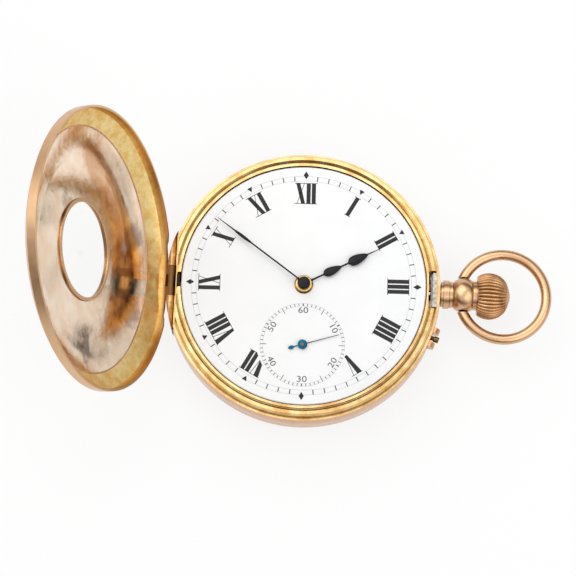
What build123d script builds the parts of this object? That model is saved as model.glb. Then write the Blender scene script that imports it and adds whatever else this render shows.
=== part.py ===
from build123d import *
import os
from math import atan2, copysign, cos, degrees, hypot, radians, sin, sqrt

os.makedirs("parts", exist_ok=True)

# A half hunter pocket watch that lies on its back with its lid open.
# Sizes are millimetres. Z = 0 is the flat middle of the back cover, +X points to the
# winding crown, +Y to 12 o'clock, and the lid hinge runs along Y on the -X side.

# Gaps shared by all fits
running_fit = 0.04
seat_gap = 0.05
swing_gap = 0.08
overrun = 1.5

# Case middle, the ring that everything is fixed to
case_radius = 25.25
band_bulge = 0.15
case_bottom = 3.2
case_top = 8.6
snap_inset = 0.75
lower_snap_depth = 0.9
bead_shoulder_height = 1.15
bead_height = 1.7
bead_width = 1.15
bead_corner = 0.3
groove_width = 0.3
dial_rim_wall = 0.45
dial_rim_height = 1.45
dial_ledge = 0.9
groove_height = 1.15
hinge_flat_inset = 0.55

# Dial
dial_side_gap = 0.2
dial_thickness = 0.6
dial_top = 9.9
dial_turn = 1.0
dial_hole_radius = 1.75
seconds_offset = 11.3
seconds_hole_radius = 0.45
dial_edge_round = 0.15

# Hinges of the three covers, each an axis along Y
hinge_inset = 0.85
hinge_half_length = 9.9
hinge_end_room = 0.35
knuckle_half_length = 2.8
lid_hinge_z = 8.2
lid_knuckle_radius = 0.9
back_hinge_z = 3.2
back_knuckle_radius = 0.75
hinge_pin_radius = 0.35
seat_depth = 1.2
cuvette_hinge_inset = 2.2
cuvette_hinge_z = 2.5
cuvette_knuckle_radius = 0.45
cuvette_hinge_half_length = 4.5
cuvette_knuckle_half_length = 1.5
cuvette_pin_radius = 0.2

# Lid with its window
lid_open = 114.2
lid_wall = 0.45
lid_side_height = 1.6
lid_height = 5.0
lid_plate = 0.5
lid_shoulder = 9.1
lid_flat_gap = 0.1
window_radius = 9.05
bezel_inner_radius = 8.42
glass_radius = 8.75
bezel_flange_radius = 9.8
bezel_flange = 0.25
bezel_lip = 0.25
bezel_drop = 0.35
glass_thickness = 0.6
glass_dome = 0.3

# Back cover and inner dust cover
back_shoulder = 9.6
back_side_z = 1.9
back_wall = 0.5
cuvette_inset = 1.6
cuvette_thickness = 0.4
cuvette_lip = 0.6
cuvette_lip_depth = 0.2

# Pendant, bow, crown and stem, all round one axis along X
pendant_z = 6.7
pendant_tail_depth = 1.05
pendant_tail_radius = 1.8
shoulder_radius = 2.3
collar_gap = 0.5
collar_length = 1.0
collar_radius = 2.62
collar_groove = 0.12
collar_ring_length = 0.5
collar_ring_radius = 2.42
neck_length = 0.8
neck_radius = 2.15
ball_start_radius = 2.35
ball_middle_place = 2.0
ball_radius = 3.2
ball_length = 5.0
throat_length = 1.4
throat_radius = 2.66
bow_pivot_place = 2.2
bow_reach = 7.0
bow_radius = 8.0
bow_wire_radius = 0.97
bow_end_gap = 0.12
bow_pin_radius = 0.5
bow_pin_length = 1.1
crown_lap = 0.6
crown_base_radius = 3.6
crown_cup_gap = 0.14
crown_cup_depth = 1.9
crown_wide_place = 2.95
crown_radius = 4.25
crown_top_place = 5.35
crown_top_radius = 2.6
crown_top = 0.75
crown_ribs = 36
rib_depth = 0.22
rib_share = 0.58
sleeve_radius = 1.2
sleeve_reach = 0.95
stem_radius = 0.6
stem_square = 0.84
stem_square_start_x = 13.9
stem_square_end_x = 20.2
stem_end_x = 12.6
stem_pivot_radius = 0.35
crown_travel = 0.45

# Springs in the case ring: the lid catch near 3 o'clock, the lid lifter near 9 o'clock
spring_half_height = 1.3
spring_room_height = 0.2
spring_room = 0.8
catch_inset = 1.85
catch_width = 0.5
catch_angle = 42.0
catch_start_angle = 8.0
catch_half_length = 3.2
catch_neck_top = 8.9
catch_nose_place = 0.23
catch_nose_width = 0.77
catch_nose_top = 9.95
catch_slot_inner_room = 0.78
catch_slot_outer_room = 0.35
catch_hole_radius = 1.0
lifter_inset = 2.45
lifter_width = 0.42
lifter_angle = 42.0
lifter_start_angle = 4.0
lifter_half_length = 1.1
lifter_nose_top = 9.6
lifter_slot_room = 0.5
lifter_slot_end_room = 0.13
slot_side_gap = 0.3
heel_reach = 1.4
heel_top = 9.05
spring_screw_radius = 0.35
spring_screw_room = 0.08
spring_screw_head_radius = 0.6
spring_screw_head = 0.3
spring_screw_depth = 0.75
spring_screw_turn = 2.2
channel_end_angle = 46.0

# Hand-setting push pin in the band
pin_angle = -19.2
pin_radius = 0.42
pin_head_radius = 0.56
pin_head_length = 0.9
pin_reach = 1.35
pin_inner_radius = 20.6
pin_travel = 0.45
guard_width = 1.0
guard_gap = 0.3
guard_radius = 1.35
guard_center_inset = 0.35

# Movement: plates and bridges
plate_side_gap = 0.2
plate_top = 8.5
plate_bottom = 6.1
bridge_top = 4.0
bridge_bottom = 3.1
bridge_edge = 0.9
bridge_split = 0.5
bridge_split_y = -4.45
foot_width = 1.7
barrel_foot_start = 15.0
barrel_foot_end = 150.0
train_foot_start = 262.0
train_foot_end = 342.0
barrel_screw_turns = (20.0, 84.0, 146.0)
train_screw_turns = (268.0, 336.0)
pocket_gap = 0.3
clutch_gap = 0.12
screw_bite = 1.2
jewel_radius = 0.6
jewel_hole_radius = 0.16
jewel_thickness = 0.35
pivot_radius = 0.12
arbor_radius = 0.3
screw_radius = 0.45
screw_head_radius = 0.78
screw_head = 0.35
screw_slot = 0.22
case_screw_head_radius = 1.3
case_screw_inset = 0.9
case_screw_angle = 100.0

# Tooth shape, as shares of the pitch and of the module
tooth_root_share = 0.27
tooth_tip_share = 0.1
addendum_share = 0.62
dedendum_share = 0.95
tip_room_share = 1.025

# Barrel and winding wheels
barrel_distance = 9.9
barrel_angle = 50.0
barrel_teeth = 78
barrel_bottom = 5.0
barrel_top = 7.55
barrel_tooth_bottom = 5.1
barrel_tooth_top = 5.6
barrel_drum_radius = 8.0
barrel_wall = 0.35
barrel_room = 0.25
barrel_floor = 0.35
arbor_core_radius = 2.0
barrel_arbor_radius = 0.9
steps_per_turn = 20
mainspring_turns = 7
mainspring_thickness = 0.14
mainspring_gap = 0.12
ratchet_teeth = 42
crown_wheel_teeth = 30
winding_top = 3.05
winding_bottom = 2.55
crown_drum_radius = 3.2
crown_drum_wall = 0.7
crown_drum_top = 4.9
crown_face_teeth = 18
crown_face_depth = 0.55
face_slot_share = 0.62
winding_pinion_teeth = 12
winding_pinion_radius = 1.9
winding_pinion_start_x = 17.75
winding_pinion_end_x = 19.25
clutch_radius = 1.7
clutch_start_x = 14.3
clutch_end_x = 17.7
clutch_groove_radius = 1.15
clutch_groove_start_x = 15.4
clutch_groove_end_x = 16.3
clutch_teeth = 12
clutch_teeth_depth = 0.45
click_distance = 8.9
click_angle = 118.0
click_length = 2.3
click_width = 0.9
click_hub_radius = 0.8
click_post_radius = 0.4
click_spring_width = 0.22
click_spring_length = 4.2
click_spring_gap = 0.3
click_spring_turn = 14.0
click_gap = 0.08

# Going train
center_wheel_teeth = 80
center_pinion_teeth = 12
center_wheel_bottom = 4.3
center_wheel_top = 4.55
center_arbor_radius = 0.55
center_arbor_inset = 0.1
third_wheel_teeth = 75
third_pinion_teeth = 10
center_module = 0.17
third_module = 0.15
third_wheel_bottom = 5.6
third_wheel_top = 5.85
third_pinion_bottom = 4.2
third_pinion_top = 4.65
fourth_wheel_teeth = 80
fourth_pinion_teeth = 10
fourth_module = 0.12
fourth_wheel_bottom = 4.75
fourth_wheel_top = 5.0
fourth_pinion_bottom = 5.45
fourth_pinion_top = 5.98
seconds_arbor_radius = 0.2
escape_pinion_teeth = 8
escape_teeth = 15
escape_angle = 200.0
escape_radius = 2.6
escape_root_radius = 2.05
escape_back_share = 0.3
escape_tip_share = 0.1
escape_face_share = 0.99
escape_hub_share = 0.7
escape_wheel_bottom = 5.2
escape_wheel_top = 5.4
escape_pinion_bottom = 4.65
escape_pinion_top = 5.05
wheel_hub_radius = 1.05
wheel_rim = 0.55
wheel_spoke = 0.5
wheel_spokes = 4

# Escapement
pallet_angle = 150.0
pallet_distance = 3.45
pallet_gap = 0.08
pallet_arm = 0.5
pallet_stone_width = 0.34
pallet_half_span = 30.0
fork_head = 0.6
fork_reach = 3.1
fork_bar = 0.4
fork_horn = 0.22
fork_slot = 0.46
balance_distance = 4.2
balance_radius = 6.3
balance_rim = 0.65
balance_rim_bottom = 4.1
balance_rim_top = 4.6
balance_arm = 0.7
balance_arm_bottom = 4.25
balance_arm_top = 4.45
balance_hub_radius = 1.0
balance_screws = 14
balance_screw_radius = 0.28
balance_screw_reach = 0.35
roller_radius = 0.95
roller_bottom = 4.9
roller_top = 5.1
impulse_pin_radius = 0.16
impulse_pin_place = 0.72
impulse_pin_top = 5.4
staff_radius = 0.28
balance_rest_angle = 60.0
hairspring_turns = 6
hairspring_inner_radius = 0.85
hairspring_outer_radius = 3.8
hairspring_thickness = 0.07
hairspring_bottom = 3.72
hairspring_top = 3.92
collet_radius = 0.62
cock_bottom = 3.6
cock_top = 2.95
cock_head_radius = 2.6
cock_width = 4.6
cock_foot_distance = 9.0
cock_angle = 140.0
stud_radius = 0.3
regulator_thickness = 0.2
regulator_length = 5.0
regulator_width = 0.5
regulator_ring_radius = 1.5
cock_cap_radius = 0.85
regulator_turn = 8.0
pallet_bridge_bottom = 4.72
pallet_bridge_top = 4.95
pallet_bridge_width = 1.5
pallet_bridge_reach = 3.0

# Motion work under the dial
cannon_teeth = 12
minute_wheel_teeth = 36
minute_pinion_teeth = 12
hour_wheel_teeth = 48
motion_distance = 6.0
motion_angle = -20.0
setting_teeth = 18
setting_angle = 17.0
motion_bottom = 8.55
motion_middle = 8.8
hour_wheel_bottom = 8.9
hour_wheel_top = 9.15
cannon_radius = 0.85
cannon_top = 11.55
hour_tube_radius = 1.25
hour_tube_top = 10.85
motion_post_radius = 0.35
setting_post_radius = 0.45

# Setting lever under the dial
lever_thickness = 0.35
lever_bottom = 8.55
lever_pivot_x = 15.5
lever_pivot_y = -12.6
lever_width = 1.3
lever_hub_radius = 1.1
lever_post_radius = 0.5
lever_finger_width = 0.6
lever_tab_depth = 0.5
lever_tab_width = 0.8
finger_gap = 0.12

# Hands
hand_thickness = 0.14
minute_hand_angle = 306.6
minute_hand_length = 20.0
minute_hand_z = 11.2
minute_wire = 0.3
minute_leaf_width = 0.55
minute_leaf_length = 3.8
minute_leaf_place = 14.1
minute_boss_radius = 1.05
minute_boss_bottom = 11.05
hour_hand_angle = 63.4
hour_hand_length = 15.65
hour_hand_z = 10.5
hour_wire = 0.34
hour_inner_bulb_place = 5.15
hour_inner_bulb_length = 3.0
hour_inner_bulb_width = 1.5
hour_outer_bulb_place = 10.9
hour_outer_bulb_length = 3.4
hour_outer_bulb_width = 1.75
hour_boss_radius = 1.56
hour_boss_bottom = 10.3
hour_boss_top = 10.8
seconds_hand_angle = 73.5
seconds_hand_length = 6.9
seconds_tail = 2.7
seconds_tail_bulb = 0.42
seconds_wire = 0.2
seconds_hand_z = 10.2
seconds_boss_radius = 0.9
seconds_boss_height = 0.35

# Places that follow from the case's radius
snap_radius = case_radius - snap_inset
bead_inner_radius = snap_radius - bead_width
dial_rim_radius = bead_inner_radius - groove_width - dial_rim_wall
dial_radius = dial_rim_radius - dial_side_gap
movement_bore = dial_rim_radius - dial_ledge
plate_radius = movement_bore - plate_side_gap
hinge_flat_x = case_radius - hinge_flat_inset
hinge_x = case_radius - hinge_inset
hinge_trim_radius = case_radius + band_bulge
cuvette_hinge_x = snap_radius - cuvette_hinge_inset
cuvette_radius = snap_radius - cuvette_inset
lid_radius = case_radius - band_bulge
lid_flat_radius = lid_radius - lid_shoulder
lid_flat_x = hinge_flat_x - lid_flat_gap
back_flat_radius = lid_radius - back_shoulder
catch_radius = case_radius - catch_inset
catch_nose_inner_x = catch_radius + catch_nose_place
catch_nose_outer_x = catch_nose_inner_x + catch_nose_width
catch_slot_x = catch_nose_inner_x - catch_slot_inner_room
catch_slot_end_x = catch_nose_outer_x + catch_slot_outer_room
lifter_radius = case_radius - lifter_inset
lifter_slot_x = lifter_radius - lifter_slot_room
lifter_slot_end_x = lifter_radius + lifter_width + lifter_slot_end_room
pendant_tail_x = case_radius - pendant_tail_depth
collar_start_x = case_radius + collar_gap
collar_end_x = collar_start_x + collar_length
collar_ring_x = collar_end_x + collar_groove
collar_ring_end_x = collar_ring_x + collar_ring_length
neck_end_x = collar_end_x + neck_length
ball_middle_x = neck_end_x + ball_middle_place
ball_end_x = neck_end_x + ball_length
bow_pivot_x = neck_end_x + bow_pivot_place
bow_center_x = bow_pivot_x + bow_reach
crown_start_x = ball_end_x - crown_lap
crown_wide_x = crown_start_x + crown_wide_place
crown_top_x = crown_start_x + crown_top_place
crown_end_x = crown_top_x + crown_top
sleeve_end_x = ball_end_x + sleeve_reach

# Heights that follow from the sizes above
dial_bottom = dial_top - dial_thickness
lower_snap_z = case_bottom - lower_snap_depth
lid_rim_z = case_top + seat_gap
lid_top_z = lid_rim_z + lid_height
back_rim_z = case_bottom - seat_gap
cuvette_top = lower_snap_z - seat_gap
cuvette_bottom = cuvette_top - cuvette_thickness
six_direction = dial_turn - 90
seconds_x = seconds_offset * cos(radians(six_direction))
seconds_y = seconds_offset * sin(radians(six_direction))


def face_of(start, *steps):
    """A face in the XZ plane: each step is a point, or the middle and end of an arc."""
    edges = []
    here = start
    for step in steps + (start,):
        if isinstance(step[0], tuple):
            edges.append(ThreePointArc(here, step[0], step[1]))
            here = step[1]
        else:
            edges.append(Line(here, step))
            here = step
    return Plane.XZ * make_face(edges)


def turned(start, *steps):
    """A solid turned round Z from points of radius and height."""
    return revolve(face_of(start, *steps), Axis.Z)


def turned_x(start, *steps):
    """A solid turned round the pendant axis from points of place along X and radius."""
    raised = face_of(start, *steps)
    return Pos(0, 0, pendant_z) * revolve(raised, Axis.X)


def cap_middle(radius, height):
    """The height of a round cap at half its radius."""
    ball = (radius ** 2 + height ** 2) / (2 * height)
    return sqrt(ball ** 2 - radius ** 2 / 4) - (ball - height)


def rod(radius, bottom, top, x=0, y=0):
    """An upright cylinder between two heights."""
    return Pos(x, y, (bottom + top) / 2) * Cylinder(radius, top - bottom)


def rod_x(radius, start, end):
    """A cylinder on the pendant axis."""
    return Pos((start + end) / 2, 0, pendant_z) * Rot(0, 90, 0) * Cylinder(radius, end - start)


def rod_y(radius, x, z, start, end):
    """A cylinder along Y between two places."""
    return Pos(x, (start + end) / 2, z) * Rot(90, 0, 0) * Cylinder(radius, end - start)


def block(x0, x1, y0, y1, z0, z1):
    """A box between two corners."""
    return Pos((x0 + x1) / 2, (y0 + y1) / 2, (z0 + z1) / 2) * Box(x1 - x0, y1 - y0, z1 - z0)


def plate_of(face, bottom, top):
    """A flat face pulled up between two heights."""
    return extrude(Pos(0, 0, bottom) * face, amount=top - bottom, dir=(0, 0, 1))


def polar(distance, angle):
    """X and Y of a place given by its distance and its angle from +X."""
    return distance * cos(radians(angle)), distance * sin(radians(angle))


def sector(inner, outer, start, end, bottom, top):
    """Part of an upright tube between two angles."""
    rim = face_of((inner, bottom), (outer, bottom), (outer, top), (inner, top))
    return Rot(0, 0, start) * revolve(rim, Axis.Z, revolution_arc=end - start)


def solid_of(shape):
    """The same shape as one plain solid."""
    return shape.solids()[0] if len(shape.solids()) == 1 else Compound(children=list(shape.solids()))


def gear_face(teeth, radius, phase):
    """A toothed disc: straight-sided teeth on a pitch circle, one of them at the phase."""
    pitch = 360 / teeth
    module = 2 * radius / teeth
    tip = radius + module * addendum_share
    root = radius - module * dedendum_share
    points = []
    for number in range(teeth):
        middle = phase + pitch * number
        points.append(polar(root, middle - pitch * tooth_root_share))
        points.append(polar(tip, middle - pitch * tooth_tip_share))
        points.append(polar(tip, middle + pitch * tooth_tip_share))
        points.append(polar(root, middle + pitch * tooth_root_share))
    return make_face(Polyline(*points, close=True))


def meshed(phase, teeth, other_teeth, direction):
    """The phase of a gear whose gap meets a tooth of the gear that drives it."""
    return direction + 180 - (phase - direction) * teeth / other_teeth + 180 / other_teeth


def spoked(face, outer, spokes):
    """A wheel face with windows between its hub and its rim."""
    window = Circle(outer - wheel_rim) - Circle(wheel_hub_radius)
    for number in range(spokes):
        turn = Rot(0, 0, 360 * number / spokes)
        window -= turn * Pos(outer / 2, 0) * Rectangle(outer, wheel_spoke)
    return face - window


def spiral(inner, outer, turns, thickness, bottom, top, start=0):
    """A flat spring: one ribbon that winds from its inner to its outer end."""
    steps = int(turns * steps_per_turn)
    inside = []
    outside = []
    for step in range(steps + 1):
        share = step / steps
        angle = start + 360 * turns * share
        radius = inner + (outer - inner) * share
        inside.append(polar(radius - thickness / 2, angle))
        outside.append(polar(radius + thickness / 2, angle))
    return plate_of(make_face(Polyline(*inside, *reversed(outside), close=True)), bottom, top)


def keep(name, shape):
    """Write one piece under its own name."""
    solids = shape.solids()
    print(name, len(solids), round(sum(solid.volume for solid in solids), 4))
    export_step(solid_of(shape), "parts/" + name + ".step")


def on_lid(shape):
    """Swing a piece of the closed lid to the open lid's place."""
    return shape.rotate(Axis((-hinge_x, 0, lid_hinge_z), (0, 1, 0)), -lid_open)


# Places of the wheels, seen from the dial side
barrel_x, barrel_y = polar(barrel_distance, barrel_angle)
third_from_center = center_module * (center_wheel_teeth + third_pinion_teeth) / 2
third_from_fourth = third_module * (third_wheel_teeth + fourth_pinion_teeth) / 2
along = (third_from_center ** 2 - third_from_fourth ** 2 + seconds_offset ** 2) / (2 * seconds_offset)
across = sqrt(third_from_center ** 2 - along ** 2)
third_distance = hypot(along, across)
third_direction = six_direction - degrees(atan2(across, along))
third_x, third_y = polar(third_distance, third_direction)
escape_distance = fourth_module * (fourth_wheel_teeth + escape_pinion_teeth) / 2
escape_dx, escape_dy = polar(escape_distance, escape_angle)
escape_x = seconds_x + escape_dx
escape_y = seconds_y + escape_dy
pallet_dx, pallet_dy = polar(pallet_distance, pallet_angle)
pallet_x = escape_x + pallet_dx
pallet_y = escape_y + pallet_dy
balance_dx, balance_dy = polar(balance_distance, pallet_angle)
balance_x = pallet_x + balance_dx
balance_y = pallet_y + balance_dy
pinion_middle_x = (winding_pinion_start_x + winding_pinion_end_x) / 2
crown_wheel_x = pinion_middle_x - crown_drum_radius + crown_drum_wall / 2
crown_to_ratchet = hypot(barrel_x - crown_wheel_x, barrel_y)
crown_wheel_radius = crown_to_ratchet * crown_wheel_teeth / (crown_wheel_teeth + ratchet_teeth)
ratchet_radius = crown_to_ratchet - crown_wheel_radius
minute_x, minute_y = polar(motion_distance, motion_angle)
cannon_pitch = motion_distance * cannon_teeth / (cannon_teeth + minute_wheel_teeth)
minute_pitch = motion_distance - cannon_pitch
minute_pinion_pitch = motion_distance * minute_pinion_teeth / (minute_pinion_teeth + hour_wheel_teeth)
hour_pitch = motion_distance - minute_pinion_pitch
setting_pitch = minute_pitch * setting_teeth / minute_wheel_teeth
setting_dx, setting_dy = polar(minute_pitch + setting_pitch, setting_angle)
setting_x = minute_x + setting_dx
setting_y = minute_y + setting_dy


def full_knuckle(radius, x, z, start, end):
    """A hinge tube without its pin hole, with its ends cut by the case's curve."""
    trim = rod(hinge_trim_radius, z - radius - overrun, z + radius + overrun)
    return rod_y(radius, -x, z, start, end) & trim


def pin_hole(radius, x, z, half_length):
    """The hole for a hinge pin, with its running fit."""
    return rod_y(radius + running_fit, -x, z, -half_length - overrun, half_length + overrun)


# Case middle: turned ring with snap rims, band, dial rim and the ledge round the dial
case_ring = turned(
    (movement_bore, lower_snap_z),
    (snap_radius, lower_snap_z),
    (snap_radius, case_bottom),
    (case_radius - band_bulge, case_bottom),
    ((case_radius, (case_bottom + case_top) / 2), (case_radius - band_bulge, case_top)),
    (snap_radius, case_top),
    (snap_radius, case_top + bead_shoulder_height),
    (snap_radius - bead_corner, case_top + bead_height),
    (bead_inner_radius + bead_corner, case_top + bead_height),
    (bead_inner_radius, case_top + bead_height - bead_corner),
    (bead_inner_radius, case_top + groove_height),
    (dial_rim_radius + dial_rim_wall, case_top + groove_height),
    (dial_rim_radius + dial_rim_wall, case_top + dial_rim_height),
    (dial_rim_radius, case_top + dial_rim_height),
    (dial_rim_radius, dial_bottom),
    (movement_bore, dial_bottom),
)
case_high = case_top + bead_height + overrun
case_low = lower_snap_z - overrun
hinge_inner_x = hinge_x - seat_depth
seat_half = hinge_half_length + hinge_end_room
case_ring -= block(-hinge_flat_x - overrun, -hinge_flat_x, -seat_half, seat_half, case_low, case_high)
case_ring -= block(-hinge_flat_x - overrun, -hinge_inner_x, -seat_half, seat_half, case_top, case_high)
case_ring -= block(-hinge_flat_x - overrun, -hinge_inner_x, -seat_half, seat_half, case_low, case_bottom)


def add_fixed_knuckles(body, x, z, radius, half_length, middle_half, pin):
    """Fit the two fixed tubes of a hinge and the room for the moving one between them."""
    body += full_knuckle(radius, x, z, middle_half, half_length)
    body += full_knuckle(radius, x, z, -half_length, -middle_half)
    moving = middle_half + seat_gap
    body -= rod_y(radius + swing_gap, -x, z, -moving, moving)
    return body - pin_hole(pin, x, z, half_length)


case_ring = add_fixed_knuckles(
    case_ring, hinge_x, lid_hinge_z, lid_knuckle_radius, hinge_half_length,
    knuckle_half_length, hinge_pin_radius)
case_ring = add_fixed_knuckles(
    case_ring, hinge_x, back_hinge_z, back_knuckle_radius, hinge_half_length,
    knuckle_half_length, hinge_pin_radius)
case_ring = add_fixed_knuckles(
    case_ring, cuvette_hinge_x, cuvette_hinge_z, cuvette_knuckle_radius, cuvette_hinge_half_length,
    cuvette_knuckle_half_length, cuvette_pin_radius)

# Channels for the two long springs, and the slots that their noses come up through
spring_bottom = pendant_z - spring_half_height
spring_top = pendant_z + spring_half_height
channel_bottom = spring_bottom - spring_room_height
channel_top = spring_top + spring_room_height
catch_outer_radius = catch_radius + catch_width
lifter_outer_radius = lifter_radius + lifter_width
channel_turn = degrees(slot_side_gap / catch_radius)
case_ring -= sector(catch_radius - spring_room, catch_outer_radius + seat_gap,
                    -catch_start_angle - channel_turn, channel_end_angle, channel_bottom, channel_top)
case_ring -= sector(lifter_radius - spring_room, lifter_outer_radius + seat_gap,
                    180 - lifter_start_angle - channel_turn, 180 + channel_end_angle,
                    channel_bottom, channel_top)
catch_slot = catch_half_length + slot_side_gap
lifter_slot = lifter_half_length + slot_side_gap
case_ring -= block(catch_radius - spring_room, pendant_tail_x - seat_gap, -catch_slot, catch_slot,
                   channel_bottom, catch_neck_top)
case_ring -= block(catch_slot_x, catch_slot_end_x, -catch_slot, catch_slot, catch_neck_top - seat_gap,
                   case_high)
case_ring -= block(-lifter_slot_end_x, -lifter_slot_x, -lifter_slot, lifter_slot, spring_bottom, case_high)

# Bore for the pendant tail, and the push pin's hole between its two guards
case_ring -= rod_x(pendant_tail_radius + running_fit, pendant_tail_x, case_radius + overrun)
case_ring -= rod_x(sleeve_radius + running_fit, movement_bore - overrun, pendant_tail_x + overrun)
for side in (1, -1):
    near = side * (pin_head_radius + guard_gap)
    far = near + side * guard_width
    guard = rod_y(guard_radius, case_radius - guard_center_inset, pendant_z, min(near, far), max(near, far))
    case_ring += Rot(0, 0, pin_angle) * guard
case_ring -= Rot(0, 0, pin_angle) * rod_x(pin_radius + running_fit, movement_bore - overrun,
                                          case_radius + overrun)
case_ring -= Rot(0, 0, pin_angle) * rod_x(pin_head_radius + running_fit,
                                          case_radius + pin_reach - pin_head_length - pin_travel,
                                          case_radius + overrun)
case_screw_distance = plate_radius - case_screw_inset
for turn in (case_screw_angle, case_screw_angle + 180):
    sx, sy = polar(case_screw_distance, turn)
    case_ring -= rod(case_screw_head_radius + swing_gap, case_low, plate_bottom, sx, sy)
for radius, turn in ((catch_outer_radius, catch_angle - spring_screw_turn),
                     (lifter_outer_radius, 180 + lifter_angle - spring_screw_turn)):
    case_ring -= Rot(0, 0, turn) * rod_x(spring_screw_radius + running_fit, radius - overrun,
                                         radius + spring_screw_depth)
keep("case_middle", case_ring)

for name, x, z, radius, half_length in (
        ("lid_hinge_pin", hinge_x, lid_hinge_z, hinge_pin_radius, hinge_half_length),
        ("back_hinge_pin", hinge_x, back_hinge_z, hinge_pin_radius, hinge_half_length),
        ("cuvette_hinge_pin", cuvette_hinge_x, cuvette_hinge_z, cuvette_pin_radius,
         cuvette_hinge_half_length)):
    keep(name, full_knuckle(radius, x, z, -half_length, half_length))

# Lid: a turned dish with a flat at the hinge, its own hinge tube and a round window
lid_inner = lid_radius - lid_wall
lid_side_z = lid_rim_z + lid_side_height


def shoulder_middle(flat, radius, flat_z, side_z):
    """The middle of an arc that leaves a flat face level and ends at a straight side."""
    reach = radius - flat
    rise = abs(side_z - flat_z)
    ball = (reach ** 2 + rise ** 2) / (2 * rise)
    half_turn = atan2(reach, ball - rise) / 2
    drop = ball - ball * cos(half_turn)
    return flat + ball * sin(half_turn), flat_z + copysign(drop, side_z - flat_z)


def dish_solid(radius, flat, rim_z, side_z, top_z):
    """A full turned dish: straight side, quarter curve, flat face."""
    middle = shoulder_middle(flat, radius, top_z, side_z)
    return turned((0, rim_z), (radius, rim_z), (radius, side_z), (middle, (flat, top_z)), (0, top_z))


def flat_side(solid, x, bottom, top):
    """Cut a turned dish flat on its hinge side."""
    return solid - block(-lid_radius - overrun, -x, -lid_radius, lid_radius,
                         bottom - overrun, top + overrun)


lid_outside = flat_side(dish_solid(lid_radius, lid_flat_radius, lid_rim_z, lid_side_z, lid_top_z),
                        lid_flat_x, lid_rim_z, lid_top_z)
lid_inside = flat_side(dish_solid(lid_inner, lid_flat_radius, lid_rim_z, lid_side_z, lid_top_z - lid_plate),
                       lid_flat_x - lid_wall, lid_rim_z, lid_top_z)
lid = lid_outside - lid_inside
lid -= rod(window_radius + seat_gap, lid_rim_z, lid_top_z + overrun)
lid -= rod_y(lid_knuckle_radius + swing_gap, -hinge_x, lid_hinge_z, -seat_half, seat_half)
lid_web = block(-lid_flat_x, -lid_flat_x + lid_wall, -knuckle_half_length, knuckle_half_length,
                lid_hinge_z, lid_side_z)
lid += lid_web
lid += full_knuckle(lid_knuckle_radius, hinge_x, lid_hinge_z, -knuckle_half_length, knuckle_half_length)
lid += block(-hinge_x, -hinge_x + heel_reach, -lifter_half_length, lifter_half_length,
             lid_rim_z, heel_top)
lid -= pin_hole(hinge_pin_radius, hinge_x, lid_hinge_z, hinge_half_length)
keep("front_cover", on_lid(lid))

bezel = turned(
    (bezel_inner_radius, lid_top_z - lid_plate - bezel_drop),
    (window_radius, lid_top_z - lid_plate - bezel_drop),
    (window_radius, lid_top_z),
    (bezel_flange_radius, lid_top_z),
    (bezel_flange_radius - bezel_flange, lid_top_z + bezel_flange),
    (glass_radius + seat_gap, lid_top_z + bezel_flange),
    (glass_radius + seat_gap, lid_top_z - lid_plate - bezel_drop + bezel_lip),
    (bezel_inner_radius, lid_top_z - lid_plate - bezel_drop + bezel_lip),
)
keep("window_bezel", on_lid(bezel))
glass_z = lid_top_z - lid_plate - bezel_drop + bezel_lip
glass_edge_z = glass_z + glass_thickness
glass = turned((0, glass_z), (glass_radius, glass_z), (glass_radius, glass_edge_z),
               ((glass_radius / 2, glass_edge_z + cap_middle(glass_radius, glass_dome)),
                (0, glass_edge_z + glass_dome)))
keep("window_glass", on_lid(glass))

# Back cover
back_inner = lid_radius - back_wall


def tray_solid(radius, flat, rim_z, side_z, floor_z):
    """A full turned tray, open side up: flat floor, quarter curve, straight side."""
    middle = shoulder_middle(flat, radius, floor_z, side_z)
    return turned((0, floor_z), (flat, floor_z), (middle, (radius, side_z)), (radius, rim_z), (0, rim_z))


back = flat_side(tray_solid(lid_radius, back_flat_radius, back_rim_z, back_side_z, 0),
                 lid_flat_x, 0, back_rim_z)
back -= flat_side(tray_solid(back_inner, back_flat_radius, back_rim_z, back_side_z, back_wall),
                  lid_flat_x - back_wall, 0, back_rim_z)
back -= rod_y(back_knuckle_radius + swing_gap, -hinge_x, back_hinge_z, -seat_half, seat_half)
back += block(-lid_flat_x, -lid_flat_x + back_wall, -knuckle_half_length, knuckle_half_length,
              back_side_z, back_hinge_z)
back += full_knuckle(back_knuckle_radius, hinge_x, back_hinge_z, -knuckle_half_length, knuckle_half_length)
back -= pin_hole(hinge_pin_radius, hinge_x, back_hinge_z, hinge_half_length)
keep("back_cover", back)

# Inner dust cover, hinged inside the ring
cuvette_edge_x = cuvette_hinge_x - cuvette_knuckle_radius - swing_gap
cuvette = rod(cuvette_radius, cuvette_bottom, cuvette_top)
cuvette -= block(-cuvette_radius - overrun, -cuvette_edge_x, -cuvette_radius, cuvette_radius,
                 cuvette_bottom - overrun, cuvette_top + overrun)
cuvette -= rod(cuvette_radius - cuvette_lip, cuvette_bottom - overrun, cuvette_bottom + cuvette_lip_depth)
cuvette += block(-cuvette_hinge_x, -cuvette_edge_x + cuvette_lip, -cuvette_knuckle_half_length,
                 cuvette_knuckle_half_length, cuvette_bottom, cuvette_top)
cuvette += full_knuckle(cuvette_knuckle_radius, cuvette_hinge_x, cuvette_hinge_z,
                        -cuvette_knuckle_half_length, cuvette_knuckle_half_length)
cuvette -= pin_hole(cuvette_pin_radius, cuvette_hinge_x, cuvette_hinge_z, cuvette_hinge_half_length)
keep("dust_cover", cuvette)

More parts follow.
